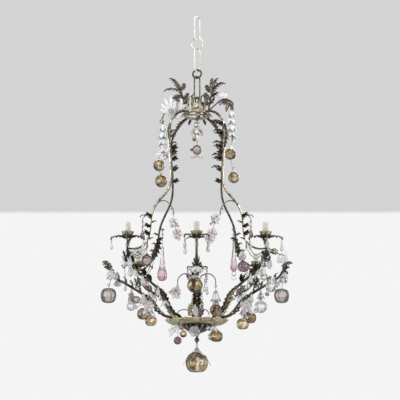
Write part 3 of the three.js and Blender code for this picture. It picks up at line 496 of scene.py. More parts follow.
def scaled(profile, size):
    return [(r * size, z * size) for r, z in profile]


def apple(size):
    return lathe(eased(scaled(APPLE, size), 26), 40, lambda a, t: 1 + 0.035 * np.cos(4 * a), tone=0.4)


def lobed(size):
    def swell(a, t):
        return 1 + 0.075 * (np.abs(np.cos(3 * a)) - 0.5) * np.sin(math.pi * t)

    return lathe(eased(scaled(LOBED, size), 26), 48, swell, tone=0.6)


def hanging_drop(shape, size):
    """A smooth drop, clear at its top and deeper in colour towards its bulb."""
    profile = eased(scaled(shape, size), 48)
    depth = np.clip(1.25 * (profile[:, 1] / profile[:, 1].min()) ** 2.2 - 0.1, 0, 1)
    return lathe(profile, 28, tone=depth)


def teardrop(size):
    return hanging_drop(TEARDROP, size)


def full_teardrop(size):
    return hanging_drop(FULL_TEARDROP, size)


def drop(size):
    return hanging_drop(DROP, size)


def bell(size):
    def swell(a, t):
        return 1 + 0.07 * np.cos(6 * a) * np.exp(-(((t - 0.5) / 0.22) ** 2))

    return lathe(eased(scaled(BELL, size), 40), 36, swell, tone=0.2)


def faceted(size):
    a = np.linspace(-math.pi / 2, math.pi / 2, 8)
    profile = np.stack([size / 2 * np.cos(a), size / 2 * (np.sin(a) - 1)], axis=1)
    return lathe(profile, 10, smooth=False, tone=0.3)


def sphere(size):
    a = np.linspace(-math.pi / 2, math.pi / 2, 17)
    profile = np.stack([size / 2 * np.cos(a), size / 2 * (np.sin(a) - 1)], axis=1)
    return lathe(profile, 32, tone=0.6)


GLASS = {
    "ball": (sphere, 1),
    "faceted": (faceted, 1),
    "apple": (apple, 0.92),
    "lobed": (lobed, 0.88),
    "teardrop": (teardrop, 4.3),
    "full_teardrop": (full_teardrop, 4.3),
    "drop": (drop, 2),
    "bell": (bell, 0.2),
}


# Materials


class Nodes:
    """The nodes of one material or of the world."""

    def __init__(self, owner):
        owner.use_nodes = True
        self.tree = owner.node_tree
        self.shader = self.tree.nodes.get("Principled BSDF")

    def add(self, kind, **settings):
        node = self.tree.nodes.new(kind)
        for name, value in settings.items():
            if name in node.inputs:
                node.inputs[name].default_value = value
            else:
                setattr(node, name, value)
        return node

    def join(self, source, target):
        self.tree.links.new(source, target)

    def fix(self, name, value):
        self.shader.inputs[name].default_value = value

    def feed(self, name, source):
        self.join(source, self.shader.inputs[name])

    def tone(self):
        return self.add("ShaderNodeAttribute", attribute_name="tone").outputs["Fac"]

    def noise(self, scale, detail=4.0, rough=0.6, twist=0.0):
        node = self.add("ShaderNodeTexNoise", Scale=scale, Detail=detail, Roughness=rough, Distortion=twist)
        self.join(self.add("ShaderNodeTexCoord").outputs["Object"], node.inputs["Vector"])
        return node.outputs["Fac"]

    def edge(self):
        """How far the surface turns away from the eye, from 0 to 1."""
        return self.add("ShaderNodeLayerWeight", Blend=0.5).outputs["Facing"]

    def ramp(self, source, *stops):
        node = self.add("ShaderNodeValToRGB")
        ramp = node.color_ramp
        while len(ramp.elements) < len(stops):
            ramp.elements.new(0.5)
        for element, (place, colour) in zip(ramp.elements, stops):
            element.position = place
            element.color = (*colour, 1)
        self.join(source, node.inputs["Fac"])
        return node.outputs["Color"]

    def towards(self, share, first, second):
        """One colour drawn by a share towards another. Each may be a fixed colour."""
        node = self.add("ShaderNodeMix", data_type="RGBA")
        self.join(share, node.inputs[0])
        for colour, target in ((first, node.inputs[6]), (second, node.inputs[7])):
            if isinstance(colour, tuple):
                target.default_value = (*colour, 1)
            else:
                self.join(colour, target)
        return node.outputs[2]

    def spread(self, source, low, high, start=0.0, end=1.0):
        node = self.add("ShaderNodeMapRange")
        for name, value in (("From Min", start), ("From Max", end), ("To Min", low), ("To Max", high)):
            node.inputs[name].default_value = value
        self.join(source, node.inputs["Value"])
        return node.outputs["Result"]

    def worked_out(self, operation, *sources):
        node = self.add("ShaderNodeMath", operation=operation)
        for source, target in zip(sources, node.inputs):
            self.join(source, target)
        return node.outputs[0]

    def bump(self, height, distance, strength=1.0):
        node = self.add("ShaderNodeBump", Distance=distance, Strength=strength)
        self.join(height, node.inputs["Height"])
        self.feed("Normal", node.outputs["Normal"])


def metal(name, dark, plain, rubbed_and_highlight, roughness=0.34, metallic=0.85):
    """A patinated cast metal: dark in its hollows, plain between, and bright where the form's tone is high,
    which is wear on ribs and edges and a painted highlight on the lit side of bars.
    """
    material = bpy.data.materials.new(name)
    nodes = Nodes(material)
    patina = nodes.ramp(nodes.noise(42, 3, 0.5), (0.44, dark), (0.6, plain))
    # The tone draws the colour towards the bright one: wear on ribs and edges, and on bars a painted
    # highlight.
    wear_and_highlight = nodes.worked_out("MULTIPLY", nodes.tone(), nodes.spread(nodes.noise(75, 3), 0.3, 1.6, 0.4, 0.6))
    nodes.feed("Base Color", nodes.towards(wear_and_highlight, patina, rubbed_and_highlight))
    nodes.fix("Metallic", metallic)
    nodes.feed("Roughness", nodes.spread(nodes.noise(35, 3), roughness - 0.05, roughness + 0.1, 0.3, 0.7))
    nodes.bump(nodes.noise(120, 4, 0.6), 0.0003, 0.35)
    return material


def glass(name, pale, deep, rim, clear=1.0, scale=24.0, twist=0.0, streaks=(0.42, 0.6), edge=(0.32, 0.72),
          roughness=0.03, ior=1.45, depth=1.5, glow=0.0):
    """A blown or pressed glass, streaked from pale to deep by the tone of the form, and turned to a painted
    rim shade where its surface turns from the eye.
    """
    material = bpy.data.materials.new(name)
    nodes = Nodes(material)
    streak = nodes.spread(nodes.noise(scale, 2, 0.5, twist), 0.05, depth, *streaks)
    tint = nodes.towards(nodes.worked_out("MULTIPLY", nodes.tone(), streak), pale, deep)
    # Painted shade: the colour goes over to the rim colour as the surface turns from the eye.
    turned = nodes.spread(nodes.edge(), 0, 1, *edge)
    nodes.feed("Base Color", nodes.towards(turned, tint, rim))
    nodes.fix("Transmission Weight", clear)
    nodes.fix("IOR", ior)
    nodes.fix("Subsurface Weight", glow)
    nodes.fix("Subsurface Radius", (0.02, 0.02, 0.02))
    nodes.feed("Roughness", nodes.spread(nodes.noise(30, 2), roughness, roughness + 0.05))
    nodes.bump(nodes.noise(26, 1, 0.5), 0.0006, 0.5)
    return material


def candle(name):
    """A milky sleeve with faint drips of dirt."""
    material = bpy.data.materials.new(name)
    nodes = Nodes(material)
    wax = nodes.ramp(nodes.noise(60, 4), (0.3, (0.55, 0.54, 0.50)), (0.65, (0.72, 0.71, 0.67)))
    nodes.feed("Base Color", wax)
    nodes.feed("Roughness", nodes.spread(nodes.noise(120), 0.35, 0.55))
    nodes.fix("Subsurface Weight", 0.15)
    nodes.fix("Subsurface Radius", (0.006, 0.005, 0.004))
    nodes.bump(nodes.noise(180, 4), 0.0004, 0.4)
    return material


# Each metal's colour in its hollows, between, and where it shows wear or a painted highlight, its roughness
# and how metallic it is
METALS = {
    "pale_brass": ((0.66, 0.60, 0.47), (0.88, 0.85, 0.76), (0.97, 0.95, 0.90), 0.3, 0.4),
    "dark_bronze": ((0.014, 0.012, 0.010), (0.040, 0.035, 0.028), (0.38, 0.34, 0.26), 0.36),
    # The bronze's bright colour is chiefly the painted highlight on the lit side of the stems and side arms,
    # and wear elsewhere.
    "bronze": ((0.026, 0.021, 0.014), (0.066, 0.053, 0.034), (0.84, 0.77, 0.60), 0.30),
    "olive_brass": ((0.125, 0.100, 0.052), (0.31, 0.255, 0.145), (0.64, 0.56, 0.37), 0.34),
}
# Each glass's pale and deep colours, its rim colour of painted shade, how clear it is, and what sets it apart
PETAL = {"roughness": 0.12, "ior": 1.2, "glow": 0.3}
GLASSES = {
    "clear_glass": ((0.98, 0.985, 0.98), (0.94, 0.95, 0.945), (0.58, 0.59, 0.58), 0.95,
                    {"edge": (0.5, 0.9), "ior": 1.35}),
    # The grey deep colour of the petal and frost glass is painted shade at the petals' bases and sides; in
    # tinted glass the deep colour is the glass's own.
    "petal_glass": ((0.98, 0.98, 0.975), (0.74, 0.75, 0.745), (0.66, 0.67, 0.66), 0.5,
                    {"edge": (0.5, 0.9), **PETAL}),
    "frost_glass": ((0.985, 0.985, 0.98), (0.70, 0.71, 0.705), (0.62, 0.63, 0.62), 0.12,
                    {"edge": (0.55, 0.95), "roughness": 0.25, "ior": 1.25, "glow": 0.5}),
    "amber_glass": ((0.98, 0.86, 0.57), (0.22, 0.115, 0.045), (0.085, 0.045, 0.02), 1,
                    {"scale": 34, "twist": 1.8, "streaks": (0.49, 0.56), "edge": (0.34, 0.66), "depth": 2.2}),
    "pink_glass": ((0.97, 0.925, 0.91), (0.76, 0.46, 0.49), (0.60, 0.48, 0.47), 0.82,
                   {"ior": 1.3, "edge": (0.45, 0.9)}),
    "rose_glass": ((0.97, 0.93, 0.925), (0.80, 0.50, 0.54), (0.50, 0.34, 0.36), 0.95,
                   {"scale": 9, "streaks": (0.2, 0.45), "edge": (0.45, 0.8), "depth": 1.1}),
    "blush_glass": ((0.98, 0.955, 0.945), (0.80, 0.52, 0.53), (0.74, 0.62, 0.61), 0.5,
                    {"edge": (0.6, 0.95), **PETAL}),
    "purple_glass": ((0.56, 0.40, 0.48), (0.22, 0.07, 0.13), (0.10, 0.04, 0.07), 0.9, {}),
    "smoky_glass": ((0.77, 0.68, 0.63), (0.54, 0.44, 0.40), (0.10, 0.08, 0.085), 0.95, {"edge": (0.2, 0.42)}),
}
FINISH = {name: metal(name, *plan) for name, plan in METALS.items()}
FINISH["candle_white"] = candle("candle_white")
FINISH |= {name: glass(name, *plan, **more) for name, (*plan, more) in GLASSES.items()}


# Pieces


def new_object(name, data):
    obj = bpy.data.objects.new(name, data)
    bpy.context.scene.collection.objects.link(obj)
    return obj


def to_mesh(name, forms):
    """One mesh of several forms, in metres, with the tone kept at each point."""
    starts = np.cumsum([0] + [len(form.points) for form in forms])
    points = np.concatenate([form.points for form in forms]) * MM
    faces = []
    smooth = []
    for start, form in zip(starts, forms):
        faces += (form.quads + start).tolist() + (form.tris + start).tolist()
        smooth += [form.smooth] * (len(form.quads) + len(form.tris))
    mesh = bpy.data.meshes.new(name)
    mesh.from_pydata(points.tolist(), [], faces)
    mesh.polygons.foreach_set("use_smooth", smooth)
    tone = mesh.attributes.new("tone", "FLOAT", "POINT")
    tone.data.foreach_set("value", np.concatenate([form.tone for form in forms]).astype(np.float32))
    mesh.update()
    return mesh


class Piece:
    """What stands for one CAD node: forms gathered by finish, riding on the node's body."""

    every = {}

    def __init__(self, node):
        self.node = node
        self.forms = {}
        Piece.every[node] = self

    def add(self, finish, *forms):
        for form in forms:
            self.forms.setdefault(finish, []).extend(form if isinstance(form, list) else [form])

    def make(self):
        body = body_of(frame["nodes"][self.node])[0]
        for finish, forms in self.forms.items():
            name = f"{self.node}_{finish}"
            obj = new_object(name, to_mesh(name, forms))
            obj.data.materials.append(FINISH[finish])
            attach(obj, body)
            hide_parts(self.node)


def on(node):
    return Piece.every.get(node) or Piece(node)


# Where the strings hang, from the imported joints
HINGES = {j["child"]: np.array(j["pos_m"]) / MM for j in frame["joints"]}
HINGE_AXES = {j["child"]: np.array(j["axis"], dtype=float) for j in frame["joints"]}


def eye(carrier, finish, start, string):
    """The eye on a carrier that a string's ring hangs in."""
    hinge = HINGES[string]
    centre = hinge + UP * EYE_SPAN / 2
    across = np.cross(UP, HINGE_AXES[string])
    top = hinge + UP * EYE_SPAN
    shank = wire(start, top, 1.2)
    on(carrier).add(finish, torus(centre, across, EYE_SPAN / 2, EYE_WIRE), shank)


# Chain


def link_bottom(top, length):
    return top - (length - 2 * LINK_WIRE)


def hung_on(level, above, below):
    return level + above + below + SEAT_GAP


upper_link_top = LINK_WIRE
upper_ring_top = hung_on(link_bottom(upper_link_top, UPPER_LINK_LENGTH), LINK_WIRE, LINK_WIRE)
middle_link_top = hung_on(upper_ring_top - 2 * UPPER_RING_RADIUS, LINK_WIRE, LINK_WIRE)
lower_ring_top = hung_on(link_bottom(middle_link_top, MIDDLE_LINK_LENGTH), LINK_WIRE, LOWER_RING_WIRE)
lower_link_top = hung_on(lower_ring_top - 2 * LOWER_RING_RADIUS, LOWER_RING_WIRE, LINK_WIRE)
crown_eye_top = hung_on(link_bottom(lower_link_top, LOWER_LINK_LENGTH), LINK_WIRE, CROWN_EYE_WIRE)


def long_link(node, finish, top, length):
    bend = LINK_WIDTH / 2 - LINK_WIRE
    straight = length - 2 * LINK_WIRE - 2 * bend
    a = np.linspace(0, math.pi, 18)
    upper = [(bend * math.cos(t), top - bend + bend * math.sin(t)) for t in a]
    lower = [(-bend * math.cos(t), top - bend - straight - bend * math.sin(t)) for t in a]
    path = [polar(LINK_YAW, reach, level) for reach, level in upper + lower]
    across = heading(LINK_YAW + 90)
    on(node).add(finish, tube(path, LINK_WIRE, across, 16, loop=True, tone=0.35))


def chain_ring(node, finish, top, radius, thickness):
    centre = vec(0, 0, top - radius)
    on(node).add(finish, torus(centre, heading(RING_YAW + 90), radius, thickness, 56, 16))


def make_chain():
    long_link("ceiling_link", "pale_brass", upper_link_top, UPPER_LINK_LENGTH)
    chain_ring("upper_ring", "pale_brass", upper_ring_top, UPPER_RING_RADIUS, LINK_WIRE)
    long_link("middle_link", "pale_brass", middle_link_top, MIDDLE_LINK_LENGTH)
    chain_ring("lower_ring", "dark_bronze", lower_ring_top, LOWER_RING_RADIUS, LOWER_RING_WIRE)
    long_link("lower_link", "dark_bronze", lower_link_top, LOWER_LINK_LENGTH)


# Crown


# The bud's outline, as shares of its radius and height
BUD = [(0, 0), (0.8, 0.01), (0.85, 0.1), (0.75, 0.17), (0.45, 0.26), (0.7, 0.38), (1, 0.55), (0.9, 0.68),
       (0.6, 0.82), (0.4, 0.92), (0.3, 1), (0, 1)]
HUB_BEADS = 28
# The straps that stand on the hub's ring, by azimuth and rise
STRAPS = ((-138, 82), (-112, 88), (-74, 66), (52, 76), (80, 84), (-46, 86))


def make_hub_ring(hub, half, middle):
    """The flat ring with its beads and spokes."""
    inner, outer = HUB_RING_INNER, HUB_RING_OUTER
    band = [(inner, -half), (outer - 3, -half), (outer, -half + 2), (outer - 1.2, -0.5), (outer, half - 3),
            (outer - 2.5, half), (inner + 4, half), (inner + 1.5, half - 1.5), (inner, half - 1.5)]
    ring = lathe(band, 96, lambda a, t: 1 + 0.008 * np.cos(32 * a), loop=True, tone=0.7)
    hub.add("olive_brass", ring.placed(vec(0, 0, HUB_LEVEL)))
    for k in range(HUB_BEADS):
        place = polar(k * 360 / HUB_BEADS + 6, middle - 1, HUB_LEVEL + half)
        hub.add("bronze", ball(place, 2.3, 0.8, 10, 6, 0.8))
    swell = 2.2 + 1.1 * np.sin(np.linspace(0, math.pi, 9)) ** 2
    for azimuth in (0, 90, 180, 270):
        spoke = np.linspace(polar(azimuth, 4, HUB_LEVEL), polar(azimuth, inner + 3, HUB_LEVEL), 9)
        hub.add("bronze", tube(spoke, swell, UP, 10))


def make_bud(hub, half):
    """The twisted bud in the middle of the crown, with the eye at its top."""
    foot = HUB_LEVEL - half
    height = crown_eye_top - 2 * CROWN_EYE_RADIUS + 2 - foot
    profile = eased([(BUD_RADIUS * r, height * z) for r, z in BUD], 40)
    bud = lathe(profile, 60, lambda a, t: 1 + 0.13 * np.cos(5 * a + 7 * t), tone=0.6)
    hub.add("bronze", bud.placed(vec(0, 0, foot)))
    eye_centre = vec(0, 0, crown_eye_top - CROWN_EYE_RADIUS)
    hub.add("dark_bronze", torus(eye_centre, heading(LINK_YAW), CROWN_EYE_RADIUS, CROWN_EYE_WIRE, 40, 14))


def make_hub_leaves(hub, half, middle):
    """The narrow straps that stand on the ring and the leaves that hang under it."""
    for azimuth, rise in STRAPS:
        places = [(0, half - 1), (1, 30), (-4, rise - 14), (-14, rise - 5), (-24, rise - 12),
                  (-26, rise - 26)]
        strap = Curve([polar(azimuth, middle + out, HUB_LEVEL + up) for out, up in places])
        hub.add("bronze", leaf(strap.path(), heading(azimuth), 18, 3, 0.2, 0.8, 1.2, 2.2, 0, 0.7, 0))
    for azimuth in (-150, -120, -60, -30, 30, 60, 120, 150):
        out = heading(azimuth)
        start = polar(azimuth, HUB_RING_OUTER - 4, HUB_LEVEL - 2)
        hub.add("dark_bronze", leaf(bowed(start, start + out * 20 - UP * 22, out * 5), out + UP, 20, 3))


def make_hub():
    hub = on("crown_hub")
    half = HUB_RING_HEIGHT / 2
    middle = (HUB_RING_INNER + HUB_RING_OUTER) / 2
    make_hub_ring(hub, half, middle)
    make_bud(hub, half)
    make_hub_leaves(hub, half, middle)
    eye("crown_hub", "bronze", vec(0, 0, HUB_LEVEL), "crown_centre_string")


SPRAY_BASE = (HUB_RING_INNER + HUB_RING_OUTER) / 2
SPRAY_FOOT = HUB_LEVEL + HUB_RING_HEIGHT / 2 + SEAT_GAP

# Places are outwards from the spray's foot, the rise as a share of its height, and how far to the front.
# A leaf is its foot, tip, bow, width and lobes.
SPRAYS = {
    "left": {
        "sign": -1,
        "spine": [(0, 0), (0, 0.13), (9, 0.38), (18, 0.65)],
        "fan": [
            ((17, 0.66), (68, 0.98, 12), (6, 0.07), 38, 5), ((15, 0.63), (4, 0.84, 8), (-3, 0.01), 30, 4),
            ((18, 0.6), (92, 0.63, 10), (0, 0.05), 26, 4), ((12, 0.42), (48, 0.43, 14), (0, 0.04), 34, 4),
            ((8, 0.36), (-16, 0.56, 14), (-3, 0.02), 26, 4), ((10, 0.44), (34, 0.66, 18), (0, 0.03), 30, 4),
            ((4, 0.2), (-12, 0.42, 16), (-2, 0.02), 24, 3), ((17, 0.62), (44, 0.8, -10), (2, 0.03), 24, 4),
        ],
        "branch": [(22, 0.07), (60, 0.105), (90, 0.012), (96, -0.116)],
    },
    "right": {
        "sign": 1,
        "spine": [(0, 0), (0, 0.13), (6, 0.38), (16, 0.69)],
        "fan": [
            ((14, 0.67), (14, 1, 6), (-3, 0), 28, 4), ((15, 0.68), (40, 0.98, 12), (-3, 0.02), 28, 4),
            ((15, 0.63), (71, 0.83, 10), (-2, 0.06), 36, 5), ((10, 0.56), (-16, 0.78, 12), (-3, 0.02), 34, 4),
            ((5, 0.36), (-24, 0.56, 14), (-3, 0.02), 32, 4), ((7, 0.43), (42, 0.64, -10), (2, 0.02), 32, 4),
            ((8, 0.5), (34, 0.74, 16), (2, 0.02), 30, 4), ((3, 0.2), (-20, 0.36, 14), (-2, 0.02), 26, 3),
            ((4, 0.24), (24, 0.44, 14), (2, 0.02), 26, 3),
        ],
        "branch": [(26, 0.233), (60, 0.395), (88, 0.372), (96, 0.233)],
    },
}


def spray_point(side, out, rise, ahead=0.0):
    return vec(SPRAYS[side]["sign"] * (SPRAY_BASE + out), -ahead, SPRAY_FOOT + rise * SPRAY_HEIGHT)


def make_spray(side):
    """A crown spray's spine, leaves and branch. Returns the piece and the branch."""
    spray = on(f"crown_spray_{side}")
    plan = SPRAYS[side]
    sign = plan["sign"]
    line = Curve([spray_point(side, *place) for place in plan["spine"]])
    spray.add("dark_bronze", tapered(line, 4, 2, BACK, 12, 30, flutes=0.1, round_ends=False))
    for foot, tip, (out, rise), width, lobes in plan["fan"]:
        bow = vec(sign * out, 0, rise * SPRAY_HEIGHT)
        path = bowed(spray_point(side, *foot), spray_point(side, *tip), bow)
        spray.add("dark_bronze", leaf(path, vec(-0.35 * sign, -0.8, 0.5), width, lobes, 0.45, curl=0.14))
    branch = Curve([line.at(0.12), *[spray_point(side, *place) for place in plan["branch"]]])
    spray.add("dark_bronze", tapered(branch, 3, 1.8, BACK, 10, 40))
    eye(f"crown_spray_{side}", "dark_bronze", branch.at(1), f"crown_string_{side}")
    return spray, branch


def make_petal_fan(spray, branch):
    """The white glass petals that open round a low point beside the left spray, in two rows."""
    low = vec(-96, -8, -482)
    spray.add("dark_bronze", wire(branch.at(0.42), low, 1.6))
    for k in range(8):
        turn = math.radians(152 - 17 * k)
        across, up = math.cos(turn), math.sin(turn)
        reach = 42 + 68 * up
        path = bowed(low + vec(0, 4, 4), low + vec(reach * across, 2, reach * up + 8), vec(5 * across, 0, 4))
        spray.add("frost_glass", petal(path, vec(0.3 * across, -1, 0.15), 25, 2.6, 0.4, (0.3, 0.05)))
    for k in range(5):
        turn = math.radians(155 - 33 * k)
        across, up = math.cos(turn), math.sin(turn)
        reach = 30 + 34 * up
        path = bowed(low - UP * 3, low + vec(reach * across, -24, reach * up + 4), vec(4 * across, -9, 0))
        spray.add("frost_glass", petal(path, vec(0, -1, 0.1), 25, 2.6, 0.4, (0.3, 0.05), -0.12))
    for x, y, z, size in ((-112, -30, -458, 22), (-86, -32, -456, 20)):
        spray.add("clear_glass", ball(vec(x, y, z), size / 2))
        spray.add("dark_bronze", wire(low, vec(x, y, z), 0.8))


def make_left_spray():
    spray, branch = make_spray("left")
    places = ((-152, -8, -486), (-160, -10, -500), (-152, -12, -508), (-146, -12, -500))
    curl = Curve([branch.at(0.8), *[vec(*place) for place in places]])
    spray.add("dark_bronze", tapered(curl, 2, 1.3, BACK, 8, 30), ball(curl.at(1), 3.4))
    make_petal_fan(spray, branch)
    knot = vec(-88, -22, -402)
    spray.add("dark_bronze", wire(branch.at(0.3), knot, 1.2))
    for turn in (20, 95, 165, 235, 310):
        across, up, _ = heading(turn)
        path = bowed(knot, knot + vec(across, -0.35, up) * 22, vec(0, -4, 0))
        spray.add("dark_bronze", leaf(path, vec(0, -1, 0.3), 17, 3))


# The leaves on the right spray's branch: share of its length, tip, bow and width
BRANCH_LEAVES = [
    (0.72, (150, -10, -402), (0, 0, -6), 30), (0.86, (154, -8, -428), (0, 0, 6), 28),
    (0.66, (118, -16, -402), (0, 0, -7), 24), (0.92, (128, -10, -452), (-6, 0, 0), 24),
    (0.97, (150, -6, -456), (4, 0, 0), 22),
]


def make_right_spray():
    spray, branch = make_spray("right")
    hold = branch.at(0.62)
    for turn, lean in ((-1, -0.5), (1, 0.5), (0.2, 0)):
        path = bowed(hold - UP * 2, hold + vec(11 * turn, -4 * turn - 3, -30), vec(6 * turn, lean * 6, 3))
        spray.add("purple_glass", petal(path, vec(-turn * 0.4, -1, 0), 19, 2.4, depth=(1, 0.3)))
    spray.add("purple_glass", ball(hold + vec(0, -12, -16), 8.5, tone=1.0))
    spray.add("dark_bronze", wire(hold, hold + vec(0, -12, -12), 1.2))
    for turn in (-1, 0, 1):
        path = bowed(hold, hold + vec(12 * turn, -3, 30 - 5 * abs(turn)), vec(3 * turn, 0, 2))
        spray.add("frost_glass", petal(path, -BACK, 20, 2.2, depth=(0.5, 0.05)))
    for share, tip, bow, width in BRANCH_LEAVES:
        path = bowed(branch.at(share), vec(*tip), vec(*bow))
        spray.add("dark_bronze", leaf(path, vec(0.3, -1, 0.4), width, 4))


# Cage stems


def between(low, high):
    return lambda share: low + (high - low) * share


def cage_level(share):
    return HUB_LEVEL - share * (HUB_LEVEL - STEM_JOINT_LEVEL)


# A stem's places, as shares of its arch, its flare and its foot, with the share of the cage's height
STEM_ARCH = [(0, 0), (0.25, 0.006), (0.67, 0.046), (1, 0.116), (1.09, 0.186), (1.06, 0.262), (0.99, 0.334),
             (0.95, 0.411)]
STEM_FLARE = [(-0.06, 0.508), (0.03, 0.556), (0.21, 0.6), (0.55, 0.659), (0.81, 0.714), (0.95, 0.774),
              (0.98, 0.831)]
STEM_FOOT = [(0.06, 0.909), (0.26, 0.956), (0.6, 0.989), (1, 1)]
# The shares of the cage's height where small leaves spring inwards, on a thin stem and on the thick front one
STEM_TUFTS = (0.188, 0.23, 0.27, 0.351, 0.433)
THICK_STEM_TUFTS = (0.12, 0.155, 0.19, 0.225, 0.27, 0.31, 0.351, 0.39, 0.433)


def stem_line(corner, post_line):
    """A stem's middle line, from the crown ring out and down to the post of its arm."""
    post = post_line.at(post_line.share_at_level(STEM_JOINT_LEVEL - STEM_RADIUS))
    belly = CAGE_BELLY - (BACK_INSET if corner.startswith("back") else 0)
    stretches = (
        (between(HUB_RING_OUTER + SEAT_GAP, CAGE_WAIST), STEM_ARCH),
        (between(CAGE_WAIST, belly), STEM_FLARE),
        (between(CAGE_BELLY, math.hypot(post[0], post[1]) - ARM_TIP_RADIUS - SEAT_GAP), STEM_FOOT),
    )
    places = [(radial(out), share) for radial, plan in stretches for out, share in plan]
    return Curve([polar(ARMS[corner][0], radial, cage_level(share)) for radial, share in places])


def stem_share(line, share):
    """Where a stem passes a share of the cage's height, as a share of its own length."""
    return line.share_at_level(cage_level(share))


def leaf_tuft(line, u, out, across, length, width, count=3, curl=0.12):
    """A few small lobed leaves that spring together from a bar."""
    forms = []
    base = line.at(u)
    for k in range(count):
        lean = (k - (count - 1) / 2) * 0.55
        way = unit(out + across * lean + line.tangent(u) * (-0.25 + 0.3 * abs(lean)))
        reach = length * (1 - 0.22 * abs(lean))
        face = unit(np.cross(across, way) + 0.3 * across * lean)
        if face[2] < 0:
            face = -face
        path = bowed(base, base + way * reach, face * 0.08 * length)
        forms.append(leaf(path, face, width, 3, 0.45, curl=curl))
    return forms


def sheath(line, first, last, face, width, lobes, lift):
    """A long serrated leaf that lies along a bar and wraps round it."""
    path = line.path(first, last, 40) + unit(face) * lift
    return leaf(path, face, width, lobes, 0.42, 0.42, 1.4, 1.8, 0.05, 0.5, 0)


def make_upper_leaves(stem, corner, line, inward, across):
    """The leaves on a stem's shoulder and waist."""
    front = corner.startswith("front")
    thick = corner == "front_right"
    for k, share in enumerate(THICK_STEM_TUFTS if thick else STEM_TUFTS):
        turned = inward + UP * (0.7 if k % 2 else 0.3)
        size = (66 if thick else 46) - 16 * share
        stem.add("dark_bronze", leaf_tuft(line, stem_share(line, share), turned, across, size, 0.62 * size))
    stem.add("dark_bronze", sheath(line, 0.015, 0.12, inward * 0.6 - UP, 38, 6, 5))
    if front:
        low, high = (stem_share(line, share) for share in (0.13, 0.31 if thick else 0.26))
        stem.add("dark_bronze", sheath(line, low, high, inward * 0.5 - BACK, 44 if thick else 26, 7, 6))
    crest = line.at(0.1)
    stem.add("bronze", leaf(bowed(crest, crest - inward * 30 - UP * 46, -inward * 7), -inward + UP, 26, 5))


def make_lower_leaves(stem, corner, line, inward, across):
    """The leaves on a stem's lower bend, and on a back stem the long ones that wrap it there."""
    for share, lift in ((0.784, 0.6), (0.85, 0.5), (0.9, 0.8)):
        stem.add("dark_bronze", leaf_tuft(line, stem_share(line, share), -inward + UP * lift, across, 34, 24))
    for share in (0.82, 0.928):
        out = inward * 0.9 + UP * 0.5
        stem.add("dark_bronze", leaf_tuft(line, stem_share(line, share), out, across, 32, 22, 2))
    if corner.startswith("back"):
        first, last = stem_share(line, 0.8), stem_share(line, 0.955)
        stem.add("dark_bronze", sheath(line, first, last, -inward + UP * 0.3, 52, 6, 4))
        stem.add("dark_bronze", sheath(line, first + 0.03, last, inward - UP * 0.2, 44, 5, 4))
        stem.add("dark_bronze", sheath(line, first, last - 0.03, -across, 38, 5, 4))


def make_second_wires(stem, azimuth, line, across):
    """The two thin wires that run under a stem's lower end to the post."""
    base = line.at(0.86)
    radial = math.hypot(base[0], base[1])
    post = math.hypot(*line.at(1)[:2])
    for rise, reach in ((-18, 10), (-30, 2)):
        points = [base, polar(azimuth, radial + reach, base[2] + rise),
                  polar(azimuth, (radial + post) / 2, STEM_JOINT_LEVEL + rise - 2),
                  polar(azimuth, post - 16, STEM_JOINT_LEVEL + 0.6 * rise),
                  polar(azimuth, post - 0.4, STEM_JOINT_LEVEL - 8)]
        stem.add("bronze", tube(Curve(points).path(count=40), 1.6, across, 8))


def make_scroll(stem, node, azimuth, line, across):
    """The scroll that a front stem sends inwards, with the eye at its end."""
    root = line.at(stem_share(line, SCROLL_ROOT))
    radial = math.hypot(root[0], root[1])
    places = [(0.22, 0.68), (0.55, 1), (0.82, 0.74), (1, 0.2)]
    points = [polar(azimuth, radial - out * SCROLL_REACH, root[2] + up * SCROLL_RISE) for out, up in places]
    scroll = Curve([root, *points])
    stem.add("bronze", tapered(scroll, 2.6, 1.7, across, 10, 50))
    end = scroll.at(1)
    out = heading(azimuth)
    curl = Curve([scroll.at(0.86), end + out * 9 + UP * 10, end + out * 12 + UP * 2])
    stem.add("bronze", tube(curl.path(count=20), 1.4, across, 8), ball(curl.at(1), 3))
    eye(node, "bronze", end, "pink_flower_garland_" + node.split("_")[1])


# Where a stem's hook springs, as a share of the cage's height, its azimuth and reach, and what hangs on it
HOOKS = {
    "front_left": (0.79, -135, 42, "purple_drop_left"),
    "front_right": (0.79, -45, 42, "purple_drop_right"),
    "back_right": (0.755, -105, 30, "pink_teardrop_right"),
    "back_left": (0.755, -60, 32, "pink_teardrop_left"),
}


def make_hook(stem, node, corner, line):
    share, azimuth, reach, string = HOOKS[corner]
    root = line.at(stem_share(line, share))
    way = heading(azimuth) * reach
    hook = Curve([root, root + way * 0.6 + UP * HOOK_RISE, root + way - UP * 0.6 * HOOK_RISE])
    stem.add("bronze", tapered(hook, 2.6, 1.8, heading(azimuth + 90), 10, 24))
    stem.add("dark_bronze", leaf(bowed(hook.at(0.6), hook.at(1) + way * 0.35 + UP * 6, UP * 5), UP, 18, 3))
    eye(node, "bronze", hook.at(1), string)


def make_stem(corner, post_line):
    node = f"{corner}_stem"
    stem = on(node)
    azimuth = ARMS[corner][0]
    line = stem_line(corner, post_line)
    across = heading(azimuth + 90)
    inward = -heading(azimuth)
    u = np.linspace(0, 1, 110)
    radius = STEM_RADIUS * (1 - 0.32 * np.clip((u - 0.72) / 0.28, 0, 1))
    # The tone round the stem paints a highlight on its lit outer side.
    stem.add("bronze", tube(line.path(count=110), radius, across, 16, flutes=0.05, tone=lit_side(16)))
    make_upper_leaves(stem, corner, line, inward, across)
    make_lower_leaves(stem, corner, line, inward, across)
    make_hook(stem, node, corner, line)
    make_second_wires(stem, azimuth, line, across)
    if corner.startswith("front"):
        make_scroll(stem, node, azimuth, line, across)
        bend = line.at(stem_share(line, BEND_FRUIT_AT))
        eye(node, "bronze", bend, "smoky_ball_left" if corner == "front_left" else "purple_fruit_right")


# Arms, cups and holders

